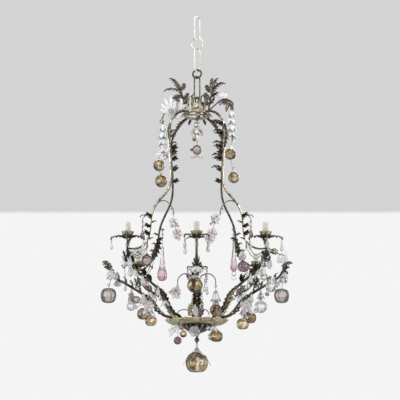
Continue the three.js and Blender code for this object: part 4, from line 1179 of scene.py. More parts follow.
# Each arm's azimuth, its reach, how much lower its end stands, and whether it carries a candle cup
ARMS = {
    "front_left": (-135, ARM_REACH, 0, True),
    "front": (-90, FRONT_ARM_REACH, FRONT_ARM_DROP, True),
    "front_right": (-45, ARM_REACH, 0, True),
    "right": (0, PLAIN_ARM_REACH, PLAIN_ARM_DROP, False),
    "back_right": (45, ARM_REACH, BACK_ARM_DROP, True),
    "back": (90, FRONT_ARM_REACH, FRONT_ARM_DROP, True),
    "back_left": (135, ARM_REACH, BACK_ARM_DROP, True),
    "left": (180, PLAIN_ARM_REACH, PLAIN_ARM_DROP, False),
}
FOOT_RISE = [(0, SEAT_GAP), (3, 14), (17, 27)]
CANDLE_ARM = [(0.012, 0.123), (0.11, 0.192), (0.236, 0.349), (0.427, 0.455), (0.634, 0.545), (0.756, 0.586),
              (0.874, 0.664)]
CANDLE_POST = [(0.963, 0.767), (0.996, 0.832), (1, 0.87), (1, 1)]
PLAIN_ARM = [(0.013, 0.115), (0.14, 0.19), (0.28, 0.332), (0.494, 0.455), (0.647, 0.527), (0.796, 0.596),
             (0.906, 0.651), (0.974, 0.733)]
PLAIN_END = [(1, 1)]


def arm_line(azimuth, reach, drop, candle_arm):
    """An arm's middle line: foot on the dish, sweep, and post or thin tip, which stands lower by drop."""
    radial = between(DISH_RIM_RADIUS, reach)
    level = between(DISH_LEVEL, POST_TOP_LEVEL)
    sweep, end = (CANDLE_ARM, CANDLE_POST) if candle_arm else (PLAIN_ARM, PLAIN_END)
    points = [polar(azimuth, FOOT_CIRCLE + out, DISH_LEVEL + up) for out, up in FOOT_RISE]
    points += [polar(azimuth, radial(out), level(up)) for out, up in sweep]
    points += [polar(azimuth, radial(out), level(up) - drop) for out, up in end]
    return Curve(points)


def collar(centre, radius, height=5):
    """A small turned ring round a bar."""
    profile = [(radius * 0.7, -height / 2), (radius, -height / 3), (radius * 1.12, 0), (radius, height / 3),
               (radius * 0.7, height / 2)]
    return lathe(eased(profile, 10), 20, tone=0.7).placed(centre)


def calyx(centre, count, length, width, spread, spin=0.0):
    """A ring of small leaves that open upwards round a bar."""
    forms = []
    for out in around(count, spin):
        tip = centre + out * length * spread + UP * length
        path = bowed(centre + out * 3, tip, out * 0.12 * length - UP * 0.02 * length)
        forms.append(leaf(path, -out * 0.6 + UP * 0.4, width, 3, 0.4, curl=0.12))
    return forms


def make_arm_leaves(arm, name, line, across, away):
    """The three long leaves that wrap an arm's foot, and the tufts along it."""
    first = line.share_at_reach(DISH_RIM_RADIUS + 4)
    last = line.share_at_reach(DISH_RIM_RADIUS + 104)
    wrap = "olive_brass" if name in ("front_right", "back_left") else "bronze"
    side_wrap = "olive_brass" if name == "front_right" else "dark_bronze"
    arm.add(wrap, sheath(line, first, last, UP - away, 46, 8, 6))
    arm.add(side_wrap, sheath(line, first + 0.02, last - 0.06, across - away * 0.4, 34, 6, 5))
    arm.add(side_wrap, sheath(line, first + 0.06, last, -across - away * 0.4, 34, 6, 5))
    tufts = ((0.52, -1), (0.62, 1), (0.7, -1), (0.79, 1))
    for share, sign in tufts[:2] if name in ("front", "back") else tufts:
        out = away * 0.4 + UP + across * 0.5 * sign
        arm.add("dark_bronze", leaf_tuft(line, share, out, across, 38, 25))


def make_arm(name, line):
    azimuth, _, _, candle_arm = ARMS[name]
    arm = on(f"{name}_arm")
    across = heading(azimuth + 90)
    end = ARM_TIP_RADIUS if candle_arm else PLAIN_TIP_RADIUS
    radius = np.interp(np.linspace(0, 1, 90), [0, POST_FOOT, 1], [ARM_FOOT_RADIUS, ARM_TIP_RADIUS, end])
    # On the side arms the tone paints a highlight on their lit side; the front and back arms stay plain and
    # dark.
    lit = 0.05 if name in ("front", "back") else lit_side(16, 0.03, 0.62)
    arm.add("bronze", tube(line.path(count=90), radius, across, 16, flutes=0.05, tone=lit))
    make_arm_leaves(arm, name, line, across, heading(azimuth))
    foot = lathe(eased([(9.5, 0), (10, 2), (8, 5), (6.6, 8)], 10), 20, tone=0.5)
    arm.add("bronze", foot.placed(line.at(0) + UP * 0.1))
    if candle_arm:
        make_post(arm, name, line.at(1))
    else:
        make_leaf_end(arm, azimuth, line)


def make_post(arm, name, top):
    """The turned rings and leaf cups of the post under a candle cup."""
    arm.add("bronze", collar(top - UP * 16, 7.5), collar(top - UP * 22, 6.5, 4))
    if name not in ("front", "back"):
        arm.add("dark_bronze", calyx(top - UP * 66, 5, 26, 18, 0.6), calyx(top - UP * 84, 5, 24, 16, 0.7, 36))
        return
    arm.add("dark_bronze", calyx(top - UP * 90, 5, 24, 13, 0.35), calyx(top - UP * 96, 6, 13, 14, 1.4, 30))
    for out in around(8, 12):
        base = top - UP * 98 + out * 3
        path = bowed(base, base + out * 25 - UP * 24, out * 4 + UP * 3)
        arm.add("petal_glass", petal(path, out + UP * 0.5, 21, 2.2, depth=(0.5, 0.05)))


# The leaves at the end of a plain arm: share of its length, turn, length and rise
END_LEAVES = ((0.985, -26, 46, 9), (0.985, 24, 42, 14), (0.965, 66, 32, 12), (0.955, -66, 32, 12),
              (0.93, 4, 36, 16), (0.9, -34, 34, -4))


def make_leaf_end(arm, azimuth, line):
    for share, turn, length, rise in END_LEAVES:
        base = line.at(share)
        path = bowed(base, base + heading(azimuth + turn) * length * 0.88 + UP * rise, UP * 7)
        arm.add("dark_bronze", leaf(path, vec(0, -0.8, 0.6), 27, 4, 0.4, curl=0.09))


# A cup's long leaves: how far they run out and up before they reach their length of 62
CUP_LEAF_LENGTH = 62
CUP_LEAF = [(0, 0), (20, 9), (38, 8), (52, 6), (CUP_LEAF_LENGTH * 0.98, 2), (CUP_LEAF_LENGTH, -8)]


def make_cup(name):
    azimuth, reach, drop, _ = ARMS[name]
    base = polar(azimuth, reach, POST_TOP_LEVEL - drop + SEAT_GAP)
    floor = CUP_HEIGHT - CUP_RECESS
    cup = on(f"{name}_cup")
    profile = [(0, 0), (7, 0), (6.4, 2), (5, 0.24 * CUP_HEIGHT), (8, 0.3 * CUP_HEIGHT),
               (14, 0.4 * CUP_HEIGHT), (0.86 * CUP_RIM_RADIUS, 0.62 * CUP_HEIGHT),
               (0.9 * CUP_RIM_RADIUS, 0.86 * CUP_HEIGHT), (CUP_RIM_RADIUS, 0.95 * CUP_HEIGHT),
               (CUP_RIM_RADIUS, CUP_HEIGHT), (CUP_RIM_RADIUS - 2, CUP_HEIGHT),
               (HOLDER_RADIUS + 3, floor + 0.6), (HOLDER_RADIUS + 1, floor), (0, floor)]
    body = lathe(profile, 48, lambda a, t: 1 + 0.02 * np.cos(16 * a) * np.sin(math.pi * t), tone=0.75)
    cup.add("olive_brass", body.placed(base))
    make_cup_leaves(cup, azimuth, base + UP * 0.24 * CUP_HEIGHT)
    make_holder(name, base + UP * (floor + SEAT_GAP))


def make_cup_leaves(cup, azimuth, root):
    """Four long leaves and eight short ones that spread under a cup."""
    for out in around(4, azimuth + 45):
        line = Curve([root + out * reach + UP * rise for reach, rise in CUP_LEAF])
        cup.add("dark_bronze", leaf(line.path(), UP - out * 0.2 - BACK * 0.6, 29, 5, 0.42, curl=0.03))
    for out in around(8, azimuth + 22.5):
        path = bowed(root, root + out * 32 + UP * 12, out * 2 - UP * 3)
        cup.add("dark_bronze", leaf(path, UP - out * 0.5, 18, 3, 0.45))


def make_holder(name, base):
    """The white tube that holds the lamp, open at its top."""
    radius, height, bottom = HOLDER_RADIUS, HOLDER_HEIGHT, HOLDER_HEIGHT - HOLDER_BORE_DEPTH
    sleeve = [(0, 0), (radius - 0.6, 0), (radius, 0.8), (radius - 0.3, 14), (radius, 28),
              (radius, height - 1), (radius - 1, height), (HOLDER_BORE + 0.4, height),
              (HOLDER_BORE, height - 1), (HOLDER_BORE, bottom), (0, bottom)]
    form = lathe(sleeve, 32, lambda a, t: 1 + 0.008 * np.sin(3 * a + 9 * t))
    on(f"{name}_lamp_holder").add("candle_white", form.placed(base))


# Dish, boss and finial


def make_dish():
    dish = on("dish")
    rim, knee, lip = DISH_RIM_RADIUS, DISH_FLOOR_RADIUS, DISH_LIP_HEIGHT
    under = [(0, -3), (0.55 * knee, -3), (0.6 * knee, -3.4), (0.66 * knee, -3), (knee, -3), (knee + 6, -1.8),
             (rim - 9, 5), (rim - 2, lip - 6), (rim, lip - 4.4)]
    over = [(rim + 1, lip - 2.6), (rim, lip - 1.4), (rim - 2.5, lip - 2.2), (rim - 11, 7.5), (knee + 4, 1),
            (knee - 2, 0), (0.62 * knee, 0), (0.58 * knee, 0.8), (0.54 * knee, 0), (0, 0)]
    body = lathe(under + over, 192, lambda a, t: 1 + 0.025 * np.cos(DISH_SCALLOPS * a))
    radial = np.hypot(body.points[:, 0], body.points[:, 1])
    angle = np.arctan2(body.points[:, 1], body.points[:, 0])
    share = np.clip((radial - knee) / (rim - knee), 0, 1) ** 2
    body.points[:, 2] += 1.6 * share * np.cos(DISH_SCALLOPS * angle)
    body.tone = np.clip(0.35 + 0.55 * share, 0, 1)
    dish.add("olive_brass", body.placed(vec(0, 0, DISH_LEVEL)))
    nut = [(0, 0.2), (14, 0), (15, 2), (12, 5), (8, 7), (7, 12), (9, 15), (9, 20), (0, 20)]
    dish.add("dark_bronze", lathe(nut, 6, smooth=False).placed(vec(0, 0, DISH_LEVEL)))
    make_bouquet(dish)
    for side, azimuth in (("left", -129), ("right", -51)):
        eye("dish", "olive_brass", polar(azimuth, RIM_FRUIT_CIRCLE, DISH_LEVEL + 7), f"rim_fruit_{side}")


# The glass buds in the dish: place to the right, behind and up, glass and width
BOUQUET = ((-29, -16, 66, "amber_glass", 19), (-6, -20, 76, "petal_glass", 18),
           (10, -16, 70, "petal_glass", 17), (21, -16, 62, "purple_glass", 17))


def make_bouquet(dish):
    """The leaf cup in the middle of the dish, the glass buds that stand in it, and its two scrolls."""
    base = vec(0, -6, DISH_LEVEL + 14)
    dish.add("dark_bronze", calyx(base, 6, 44, 26, 0.55, 20), calyx(base + UP * 14, 5, 34, 22, 0.35))
    dish.add("dark_bronze", calyx(base + UP * 58, 5, 26, 20, 0.7, 10))
    dish.add("dark_bronze", tube([base, base + UP * 30, base + UP * 62], 2.4, sides=10))
    for x, y, rise, finish, width in BOUQUET:
        top = base + vec(x, y, rise)
        dish.add("dark_bronze", tube(bowed(base + UP * 18, top - UP * 26, vec(x * 0.1, 0, -4)), 1.4, sides=8))
        dish.add(finish, gem(top, 36, width, 10, 0.5))
    for reach in (-82, 50):
        places = ((0, 0, 22), (0.4, -20, 38), (0.8, -28, 38), (1, -30, 20))
        scroll = Curve([base + vec(share * reach, y, z) for share, y, z in places])
        dish.add("dark_bronze", tube(scroll.path(count=30), 1.8, BACK, 8, round_ends=True))


# Outlines as shares of the boss's radius and height, and of the finial's length
BOSS = [(0, -1), (0.13, -1), (0.17, -0.96), (0.2, -0.88), (0.36, -0.78), (0.56, -0.66), (0.72, -0.5),
        (0.88, -0.34), (0.97, -0.2), (1, -0.1), (0.97, 0), (0, 0)]
FINIAL = [(0, -1), (3, -1), (3, -0.9), (4, -0.84), (8, -0.74), (FINIAL_BALL, -0.6), (FINIAL_BALL, -0.5),
          (7.6, -0.38), (4, -0.28), (4.6, -0.22), (7.5, -0.17), (7.5, -0.06), (6, 0), (0, 0)]


def boss_ridge(a):
    """From -1 in the hollow between two of the boss's ribs to 1 on a rib."""
    return 2 * np.abs(np.cos(BOSS_RIBS / 2 * a)) - 1


def boss_swell(a, t):
    return 1 + 0.055 * np.sin(math.pi * np.clip(t * 1.15, 0, 1)) * boss_ridge(a)


def make_boss():
    boss = on("dish_boss")
    top = DISH_LEVEL - DISH_SHEET - SEAT_GAP
    profile = eased([(BOSS_RADIUS * r, BOSS_HEIGHT * z) for r, z in BOSS], 40)
    body = lathe(profile, 192, boss_swell)
    body.tone = np.clip(0.6 * boss_ridge(np.arctan2(body.points[:, 1], body.points[:, 0])), 0, 1)
    boss.add("dark_bronze", body.placed(vec(0, 0, top)))
    rosette = vec(-9, -52, top - 30)
    facing = unit(vec(-0.1, -1, -0.35))
    boss.add("clear_glass", ball(rosette + vec(0, -6, 19), 5.5), ball(rosette + facing * 6, 4.5))
    boss.add("petal_glass", flower(rosette + facing * 3, facing, 42, 6, 0.2))
    twig = bowed(vec(-8, -40, top - 14), rosette + UP * 15 + facing * 3, facing * 4)
    boss.add("dark_bronze", tube(twig, 1.3, sides=8))


def make_finial():
    top = DISH_LEVEL - DISH_SHEET - SEAT_GAP - BOSS_HEIGHT - SEAT_GAP
    profile = eased([(r, FINIAL_LENGTH * z) for r, z in FINIAL], 44)
    on("finial").add("dark_bronze", lathe(profile, 32, tone=0.5).placed(vec(0, 0, top)))
    eye("finial", "dark_bronze", vec(0, 0, top - FINIAL_LENGTH + 4), "bottom_fruit")


# Glass strings

# What hangs on each string from the top: its form, glass and size, its fall below the eye, and where it
# stands to the right of the eye and behind it
STRINGS = {
    "purple_drop_left": [("drop", "purple", 20, 28)],
    "purple_drop_right": [("drop", "purple", 18, 24)],
    "pink_teardrop_left": [("full_teardrop", "rose", 35, 50)],
    "pink_teardrop_right": [("teardrop", "rose", 31, 26)],
    "pink_flower_garland_left": [("flower", "pink", 38, 31), ("flower", "pink", 38, 78, 16)],
    "pink_flower_garland_right": [("flower", "pink", 38, 15, -20), ("flower", "pink", 38, 75, -33)],
    "smoky_ball_left": [("apple", "smoky", 40, 34)],
    "purple_fruit_right": [("ball", "pink", 30, 23, -16, 12), ("lobed", "purple", 44, 57, -12, 10)],
    "crown_string_left": [("flower", "frost", 60, 128, 1), ("ball", "amber", 50, 170, -14),
                          ("ball", "amber", 53, 238, -4)],
    "crown_string_right": [("flower", "frost", 40, 120, 6), ("lobed", "amber", 48, 183, -6),
                           ("ball", "amber", 48, 285, 8)],
    "crown_centre_string": [("ball", "clear", 26, 10), ("flower", "frost", 40, 44),
                            ("ball", "smoky", 42, 116)],
    "smoky_apple_left": [("flower", "smoky", 34, 22, 12), ("apple", "smoky", 60, 89)],
    "smoky_apple_right": [("ball", "smoky", 26, 40, -8), ("apple", "smoky", 58, 91, -15)],
    "clear_ball_left": [("flower", "petal", 36, 14), ("ball", "clear", 38, 40)],
    "clear_ball_right": [("flower", "petal", 30, 12), ("ball", "clear", 52, 31)],
    "clear_faceted_ball_right": [("faceted", "clear", 44, 12)],
    "amber_pair_left": [("lobed", "amber", 50, 25, -15, 4), ("lobed", "amber", 46, 55, 16, -4)],
    "amber_pair_right": [("lobed", "amber", 50, 40, 13, 4), ("lobed", "amber", 48, 67, -17, -4)],
    "amber_ball_front": [("ball", "amber", 58, 14, -6)],
    "amber_ball_back": [("ball", "amber", 58, 14)],
    "pink_flower_front": [("flower", "pink", 38, 12, -6)],
    "bell_string_front": [("bell", "clear", 40, 12), ("ball", "amber", 46, 64)],
    "rim_fruit_left": [("ball", "amber", 28, 24, 18), ("ball", "purple", 31, 48, -4)],
    "rim_fruit_right": [("ball", "clear", 28, 34, -14), ("lobed", "amber", 48, 25, 6)],
    "bottom_fruit": [("lobed", "amber", 86, 25)],
}
# Strings whose glass hangs side by side, each piece on its own wire
BRANCHED = ("amber_pair_left", "amber_pair_right", "rim_fruit_left", "rim_fruit_right")
# The glass of a flower's petals and of its heart, where they differ from the string's
FLOWER_PETALS = {"pink_glass": "blush_glass"}
FLOWER_HEARTS = {"petal_glass": "amber_glass", "frost_glass": "amber_glass", "blush_glass": "pink_glass"}
# How far a wire reaches into a piece of glass
WIRE_BITE = 1.5
# Where a place is counted from, when it isn't one of the string's beads
EYE = -1
# The top of each string's beads, filled in as the strings are made
TOPS = {}


def hung_flower(piece, top, finish, size):
    finish = FLOWER_PETALS.get(finish, finish)
    heart = top - UP * 0.16 * size
    axis = unit(vec(0.6 * top[0], top[1] - 160, -20))
    piece.add(finish, flower(heart, axis, size))
    deep = 0.12 if finish in ("petal_glass", "frost_glass") else 0.9
    piece.add(FLOWER_HEARTS.get(finish, finish), ball(heart + axis * 3, 0.1 * size, tone=deep))


def make_string(string, plan):
    """A string's own ring, its wires and its main glass."""
    metal_name = "dark_bronze" if string == "bottom_fruit" else "bronze"
    hinge = HINGES[string]
    crossing = 2 * EYE_WIRE + SEAT_GAP
    ring_foot = hinge + UP * (crossing - EYE_SPAN)
    piece = on(string)
    ring_centre = hinge + UP * (crossing - EYE_SPAN / 2)
    piece.add(metal_name, torus(ring_centre, HINGE_AXES[string], EYE_SPAN / 2, EYE_WIRE))
    start = ring_foot
    TOPS[string] = []
    for form, glass_name, size, fall, *shift in plan:
        right, behind = (*shift, 0, 0)[:2]
        top = vec(hinge[0] + right, hinge[1] + behind, hinge[2] - fall)
        TOPS[string].append(top)
        piece.add(metal_name, wire(ring_foot if string in BRANCHED else start, top - UP * WIRE_BITE))
        if form == "flower":
            hung_flower(piece, top, f"{glass_name}_glass", size)
            start = top - UP * 0.3 * size
            continue
        make, length = GLASS[form]
        piece.add(f"{glass_name}_glass", make(size).placed(top))
        piece.add(metal_name, ball(top + UP * 0.4, 2.2, 0.7, 12, 7))
        start = top - UP * (length * size - WIRE_BITE)


def place_at(string, bead, *shift):
    """A place shifted from the top of one of a string's beads, or from its eye where bead is EYE."""
    return (HINGES[string] if bead == EYE else TOPS[string][bead]) + vec(*shift)


def clear_petals(node, top, count, length, width, spread, spin=0.0, finish="petal_glass", droop=1.0):
    """Long petals that hang from a point like the ribs of an umbrella."""
    for out in around(count, spin):
        tip = top + out * length * spread - UP * length * droop
        path = bowed(top + out * 3, tip, out * 0.1 * length)
        on(node).add(finish, petal(path, out + UP, width, 2.2, depth=(0.6, 0.05), curl=0))


# Petals on the strings: the bead that they are counted from, their rise over its top, how many, their length
# and width, how far they spread and spin, and where they differ, their glass and droop
PETALS = {
    "pink_flower_garland_left": [(0, -6, 4, 22, 14, 0.6, 20), (1, -6, 4, 22, 14, 0.6, 20)],
    "pink_flower_garland_right": [(0, -6, 4, 22, 14, 0.6, 20), (1, -6, 4, 22, 14, 0.6, 20)],
    "smoky_ball_left": [(0, 8, 6, 26, 18, 0.75, 0, "pink_glass")],
    "purple_fruit_right": [(0, 8, 5, 24, 16, 0.7, 30)],
    "crown_string_left": [
        (EYE, -6, 4, 40, 24, 0.45, 6, "frost_glass"), (EYE, -38, 5, 40, 26, 0.5, 38, "frost_glass"),
        (EYE, -70, 5, 38, 26, 0.5, 70, "frost_glass"), (1, 4, 5, 24, 18, 0.8, 10, "frost_glass", 0.5),
    ],
    "crown_string_right": [
        (EYE, -4, 4, 36, 20, 0.4, 4, "frost_glass"), (EYE, -34, 4, 38, 22, 0.5, 34, "frost_glass"),
        (EYE, -66, 5, 40, 24, 0.55, 66, "frost_glass"), (EYE, -98, 5, 34, 22, 0.6, 98, "frost_glass"),
        (1, 22, 5, 36, 18, 0.5, 0, "frost_glass"), (2, 8, 5, 20, 15, 0.7, 15, "frost_glass", 0.5),
    ],
    "crown_centre_string": [(0, 4, 6, 30, 20, 0.5, 12, "frost_glass"),
                            (1, 2, 5, 26, 18, 0.5, 40, "frost_glass"),
                            (1, -22, 4, 34, 15, 0.22, 0, "frost_glass")],
    "smoky_apple_left": [(0, 10, 5, 40, 24, 0.6), (0, -4, 5, 28, 18, 0.8, 40),
                         (EYE, -24, 5, 18, 14, 0.5, 15)],
    "smoky_apple_right": [(EYE, -25, 5, 26, 18, 0.5, 20), (0, 2, 5, 30, 20, 0.7, 50)],
    "clear_ball_left": [(EYE, -4, 4, 40, 20, 0.35, 30, "pink_glass")],
    "clear_ball_right": [(0, 4, 5, 18, 15, 1.0, 10)],
    "clear_faceted_ball_right": [(0, 8, 4, 26, 20, 0.8, 20)],
    "amber_pair_left": [(EYE, -14, 6, 40, 24, 0.8, 10)],
    "amber_pair_right": [(EYE, -14, 6, 40, 24, 0.8, 10)],
    "amber_ball_front": [(0, 10, 7, 30, 21, 0.95, 0, "petal_glass", 0.55),
                         (0, 4, 5, 20, 17, 0.8, 20, "petal_glass", 0.6)],
    "amber_ball_back": [(0, 10, 7, 30, 21, 0.95, 0, "petal_glass", 0.55),
                        (0, 4, 5, 20, 17, 0.8, 20, "petal_glass", 0.6)],
    "pink_flower_front": [(0, -4, 5, 28, 17, 0.55)],
    "bell_string_front": [(1, 16, 6, 22, 16, 0.6, 0, "pink_glass")],
    "rim_fruit_right": [(EYE, -8, 4, 24, 16, 0.8, 25)],
    "bottom_fruit": [(EYE, -10, 4, 66, 19, 0.85, 8), (EYE, -16, 5, 34, 24, 0.6, 40)],
}
# Small balls in the strings: the bead that each is counted from, its place, radius, glass and tone
BALLS = {
    "purple_drop_left": [(EYE, (0, 0, -19), 4.6, "clear", 0.3)],
    "purple_drop_right": [(EYE, (0, 0, -19), 4.6, "clear", 0.3)],
    "smoky_ball_left": [(EYE, (-35, -25, -26), 4, "amber", 0.3)],
    "crown_string_left": [
        (EYE, (0, 0, -12), 8, "clear", 0.3), (EYE, (0, 0, -44), 8, "clear", 0.3),
        (EYE, (0, 0, -76), 8, "clear", 0.3), (0, (4, -18, -13), 5.5, "amber", 0.1),
        (2, (0, 0, 7), 7, "pink", 0.3),
    ],
    "crown_string_right": [
        (EYE, (0, 0, -10), 7, "clear", 0.3), (EYE, (0, 0, -40), 7, "clear", 0.3),
        (EYE, (0, 0, -72), 7, "clear", 0.3), (EYE, (0, 0, -104), 7, "clear", 0.3),
        (1, (0, 0, 12), 8, "clear", 0.3), (2, (0, 0, 26), 8, "clear", 0.3), (2, (0, 0, 9), 7, "pink", 0.15),
    ],
    "crown_centre_string": [(2, (-24, -4, -22), 6, "amber", 0.9)],
    "smoky_apple_left": [(1, (0, 0, 14), 6.5, "clear", 0.3)],
    "rim_fruit_left": [(EYE, (12, -10, -16), 7.5, "purple", 0.1)],
    "bottom_fruit": [(EYE, (0, 0, -13), 9, "clear", 0.3), (EYE, (0, 0, -24), 6, "clear", 0.3)],
}
# Beads beside the strings, on wires of their own: string, where the wire starts, the bead and place that it
# leads to, radius and glass
SIDE_BEADS = [
    ("pink_flower_garland_left", (0, 0), (0, (20, -8, -23.5)), 6, "pink"),
    ("pink_flower_garland_left", (1, 0), (1, (6, -10, -30)), 6.5, "clear"),
    ("pink_flower_garland_right", (0, 0), (0, (-18.5, -8, -30)), 6, "pink"),
    ("pink_flower_garland_right", (1, 0), (1, (-6, -10, -30)), 6.5, "clear"),
    ("clear_ball_right", (EYE, -6), (0, (26, -14, 4)), 9, "smoky"),
    ("amber_pair_left", (EYE, -8), (0, (-30, -8, 4)), 8.5, "clear"),
    ("amber_pair_right", (EYE, -8), (0, (24, -8, 4)), 8.5, "clear"),
    ("pink_flower_front", (EYE, -4), (0, (-22, -8, -8)), 6, "clear"),
    ("rim_fruit_right", (EYE, -4), (EYE, (-24, -6, -18)), 9, "clear"),
]


def make_string_glass(string):
    """A string's petals and small balls."""
    for bead, rise, *petals in PETALS.get(string, []):
        clear_petals(string, place_at(string, bead, 0, 0, rise), *petals)
    for bead, shift, radius, glass_name, tone in BALLS.get(string, []):
        on(string).add(f"{glass_name}_glass", ball(place_at(string, bead, *shift), radius, tone=tone))


def make_side_beads():
    for string, (start_bead, rise), (bead, shift), radius, glass_name in SIDE_BEADS:
        place = place_at(string, bead, *shift)
        on(string).add("bronze", wire(place_at(string, start_bead, 0, 0, rise), place, FINE_WIRE))
        on(string).add(f"{glass_name}_glass", ball(place, radius, tone=0.5))


def trim_stem_strings():
    """What else hangs on the stems' strings: rings, a white flower and a leaf."""
    teardrop_foot = place_at("pink_teardrop_right", 0, 0, 0, -4.3 * 31)
    ringed = on("pink_teardrop_right")
    ringed.add("bronze", torus(teardrop_foot - UP * 9, vec(0.3, 1, 0), 9, 1.1))
    ringed.add("clear_glass", torus(teardrop_foot - UP * 27, vec(0.2, 1, 0), 9, 2.6))
    white = place_at("smoky_ball_left", EYE, -34, -20, -26)
    on("smoky_ball_left").add("petal_glass", flower(white, unit(vec(-0.4, -1, 0.1)), 40, 6))
    on("smoky_ball_left").add("bronze", wire(place_at("smoky_ball_left", EYE, 0, 0, -6), white, 0.9))
    fruit = TOPS["purple_fruit_right"][1]
    leaf_path = bowed(fruit, fruit + vec(24, -6, -14), UP * 5)
    on("purple_fruit_right").add("dark_bronze", leaf(leaf_path, UP, 18, 3))


def trim_crown_left():
    string = on("crown_string_left")
    top = TOPS["crown_string_left"][0]
    facing = unit(vec(-0.1, -1, -0.1))
    string.add("frost_glass", flower(top + vec(2, -8, -12), facing, 62, 6, 0.15, 0.4, (0.2, 0.02)))
    leaf_path = bowed(top - UP * 18, top + vec(24, -16, -34), vec(3, 0, 3))
    string.add("dark_bronze", leaf(leaf_path, UP, 14, 3))


def trim_crown_centre():
    """The curled pink ribbons, the amber drop and the wires of the string under the crown."""
    string = on("crown_centre_string")
    _, flower_top, ball_top = TOPS["crown_centre_string"]
    upper = [(0, 0, 0), (13, -6, -2), (22, -8, -16), (16, -9, -27)]
    lower = [(0, 0, 0), (7, -3, -12), (20, -4, -20), (25, -4, -12)]
    ribbons = ((flower_top - UP * 6, upper, 15, 0.45), (ball_top - UP * 36, lower, 13, 0.4))
    for sign in (-1, 1):
        for start, places, width, deep in ribbons:
            line = Curve([start + vec(sign * x, y, z) for x, y, z in places])
            string.add("pink_glass", petal(line.path(), vec(0, -1, 0.4), width, 2.6, depth=(0.1, deep)))
    drop_top = flower_top + vec(-12, -6, -22)
    string.add("amber_glass", hanging_drop(DROP, 17).placed(drop_top))
    string.add("bronze", wire(flower_top - UP * 8, drop_top, 0.8))
    string.add("bronze", wire(ball_top + UP * 2, ball_top + vec(-24, -4, -20), FINE_WIRE))


def trim_arm_strings():
    """What else hangs on the plain arms' strings: an apple, a ring, and a flower on each amber pair."""
    apple_top = place_at("clear_ball_left", 0, 20, -12, -6)
    on("clear_ball_left").add("smoky_glass", apple(30).placed(apple_top))
    ring = place_at("clear_faceted_ball_right", 0, -26, -8, 16)
    string = on("clear_faceted_ball_right")
    string.add("smoky_glass", torus(ring, vec(0.2, 1, 0), 11, 3.6))
    string.add("bronze", wire(place_at("clear_faceted_ball_right", EYE, 0, 0, -5), ring, 0.8))
    for side, sign in (("left", -1), ("right", 1)):
        name = f"amber_pair_{side}"
        heart = place_at(name, EYE, -8 * sign, -24, -20)
        on(name).add("blush_glass", flower(heart, unit(vec(0.2 * sign, -1, 0.1)), 42))
        on(name).add("blush_glass", ball(heart + vec(0, -4, 0), 3.6, tone=0.9))
        middle = sum(TOPS[name]) / 2
        clear_petals(name, middle + vec(0, -10, 4), 3, 22, 14, 0.8, 35)


def trim_rim_fruit():
    start = HINGES["rim_fruit_left"]
    for tip in ((-44, -10, -30), (-36, -16, -48), (-8, -20, -34)):
        path = bowed(start - UP * 6, start + vec(*tip), vec(0, -3, 5))
        on("rim_fruit_left").add("petal_glass", petal(path, vec(0, -1, 0.4), 20, 2.4, depth=(0.5, 0.05)))


def make_strings():
    for string, plan in STRINGS.items():
        make_string(string, plan)
        make_string_glass(string)
    make_side_beads()
    trim_stem_strings()
    trim_crown_left()
    trim_crown_centre()
    trim_arm_strings()
    trim_rim_fruit()


# Extra glass on the front arm's side scrolls, the cups and the arms


SCROLL_PLACES = ((0, 0), (26, 24), (52, 26), (70, 8), (72, -10))


def make_front_scrolls(line):
    """The front arm's two side scrolls with their eyes, leaves and crystals."""
    arm = on("front_arm")
    root = line.at(line.share_at_reach(FRONT_ARM_REACH - 118))
    for sign, string in ((-1, "pink_flower_front"), (1, "bell_string_front")):
        scroll = Curve([root + vec(sign * aside, 0, rise) for aside, rise in SCROLL_PLACES])
        arm.add("dark_bronze", tapered(scroll, 2.4, 1.7, BACK, 10, 44))
        eye("front_arm", "dark_bronze", scroll.at(1), string)
        if sign < 0:
            arm.add("dark_bronze", leaf_tuft(scroll, 0.5, vec(0.5, -0.5, -0.8), BACK, 36, 24))
            arm.add("dark_bronze", leaf_tuft(scroll, 0.36, vec(0.3, -0.5, -0.9), BACK, 30, 22))
        else:
            arm.add("dark_bronze", leaf_tuft(scroll, 0.12, vec(0, -0.5, -0.8), BACK, 22, 16, 2))
    for x, z, size in ((34, 16, (26, 12)), (30, -18, (24, 13)), (40, -30, (24, 11))):
        top = root + vec(x, -4, z)
        arm.add("clear_glass", gem(top, *size), ball(top + UP * 3, 3))
        arm.add("bronze", wire(root + vec(34, 0, 25), top, FINE_WIRE))


# The glass buds before the front arm's foot: place to the right and up, glass and size
FRONT_BUDS = ((-25, -2, "amber_glass", 20), (-6, 5, "petal_glass", 22), (2, -6, "petal_glass", 20),
              (11, -2, "purple_glass", 22))


def make_front_buds(line):
    start = line.at(line.share_at_reach(150))
    for x, rise, finish, size in FRONT_BUDS:
        top = start + vec(x, -15, rise)
        on("front_arm").add("dark_bronze", wire(start, top, 1.2))
        on("front_arm").add(finish, hanging_drop(DROP, size).placed(top))


plain_radial = between(DISH_RIM_RADIUS, PLAIN_ARM_REACH)
# What hangs on the arms, and how far out. None stands for the arm's end.
ARM_HANGS = [
    ("left", None, "smoky_apple_left"), ("left", plain_radial(0.61), "clear_ball_left"),
    ("left", plain_radial(0.33), "amber_pair_left"), ("right", None, "smoky_apple_right"),
    ("right", plain_radial(0.58), "clear_ball_right"), ("right", plain_radial(0.33), "amber_pair_right"),
    ("right", plain_radial(0.74), "clear_faceted_ball_right"),
    ("front", FRONT_ARM_REACH - 50, "amber_ball_front"), ("back", FRONT_ARM_REACH - 50, "amber_ball_back"),
]


def make_arm_eyes(lines):
    for name, radial, string in ARM_HANGS:
        line = lines[name]
        start = line.at(line.share_at_reach(radial) if radial else 1)
        eye(f"{name}_arm", "bronze", start, string)


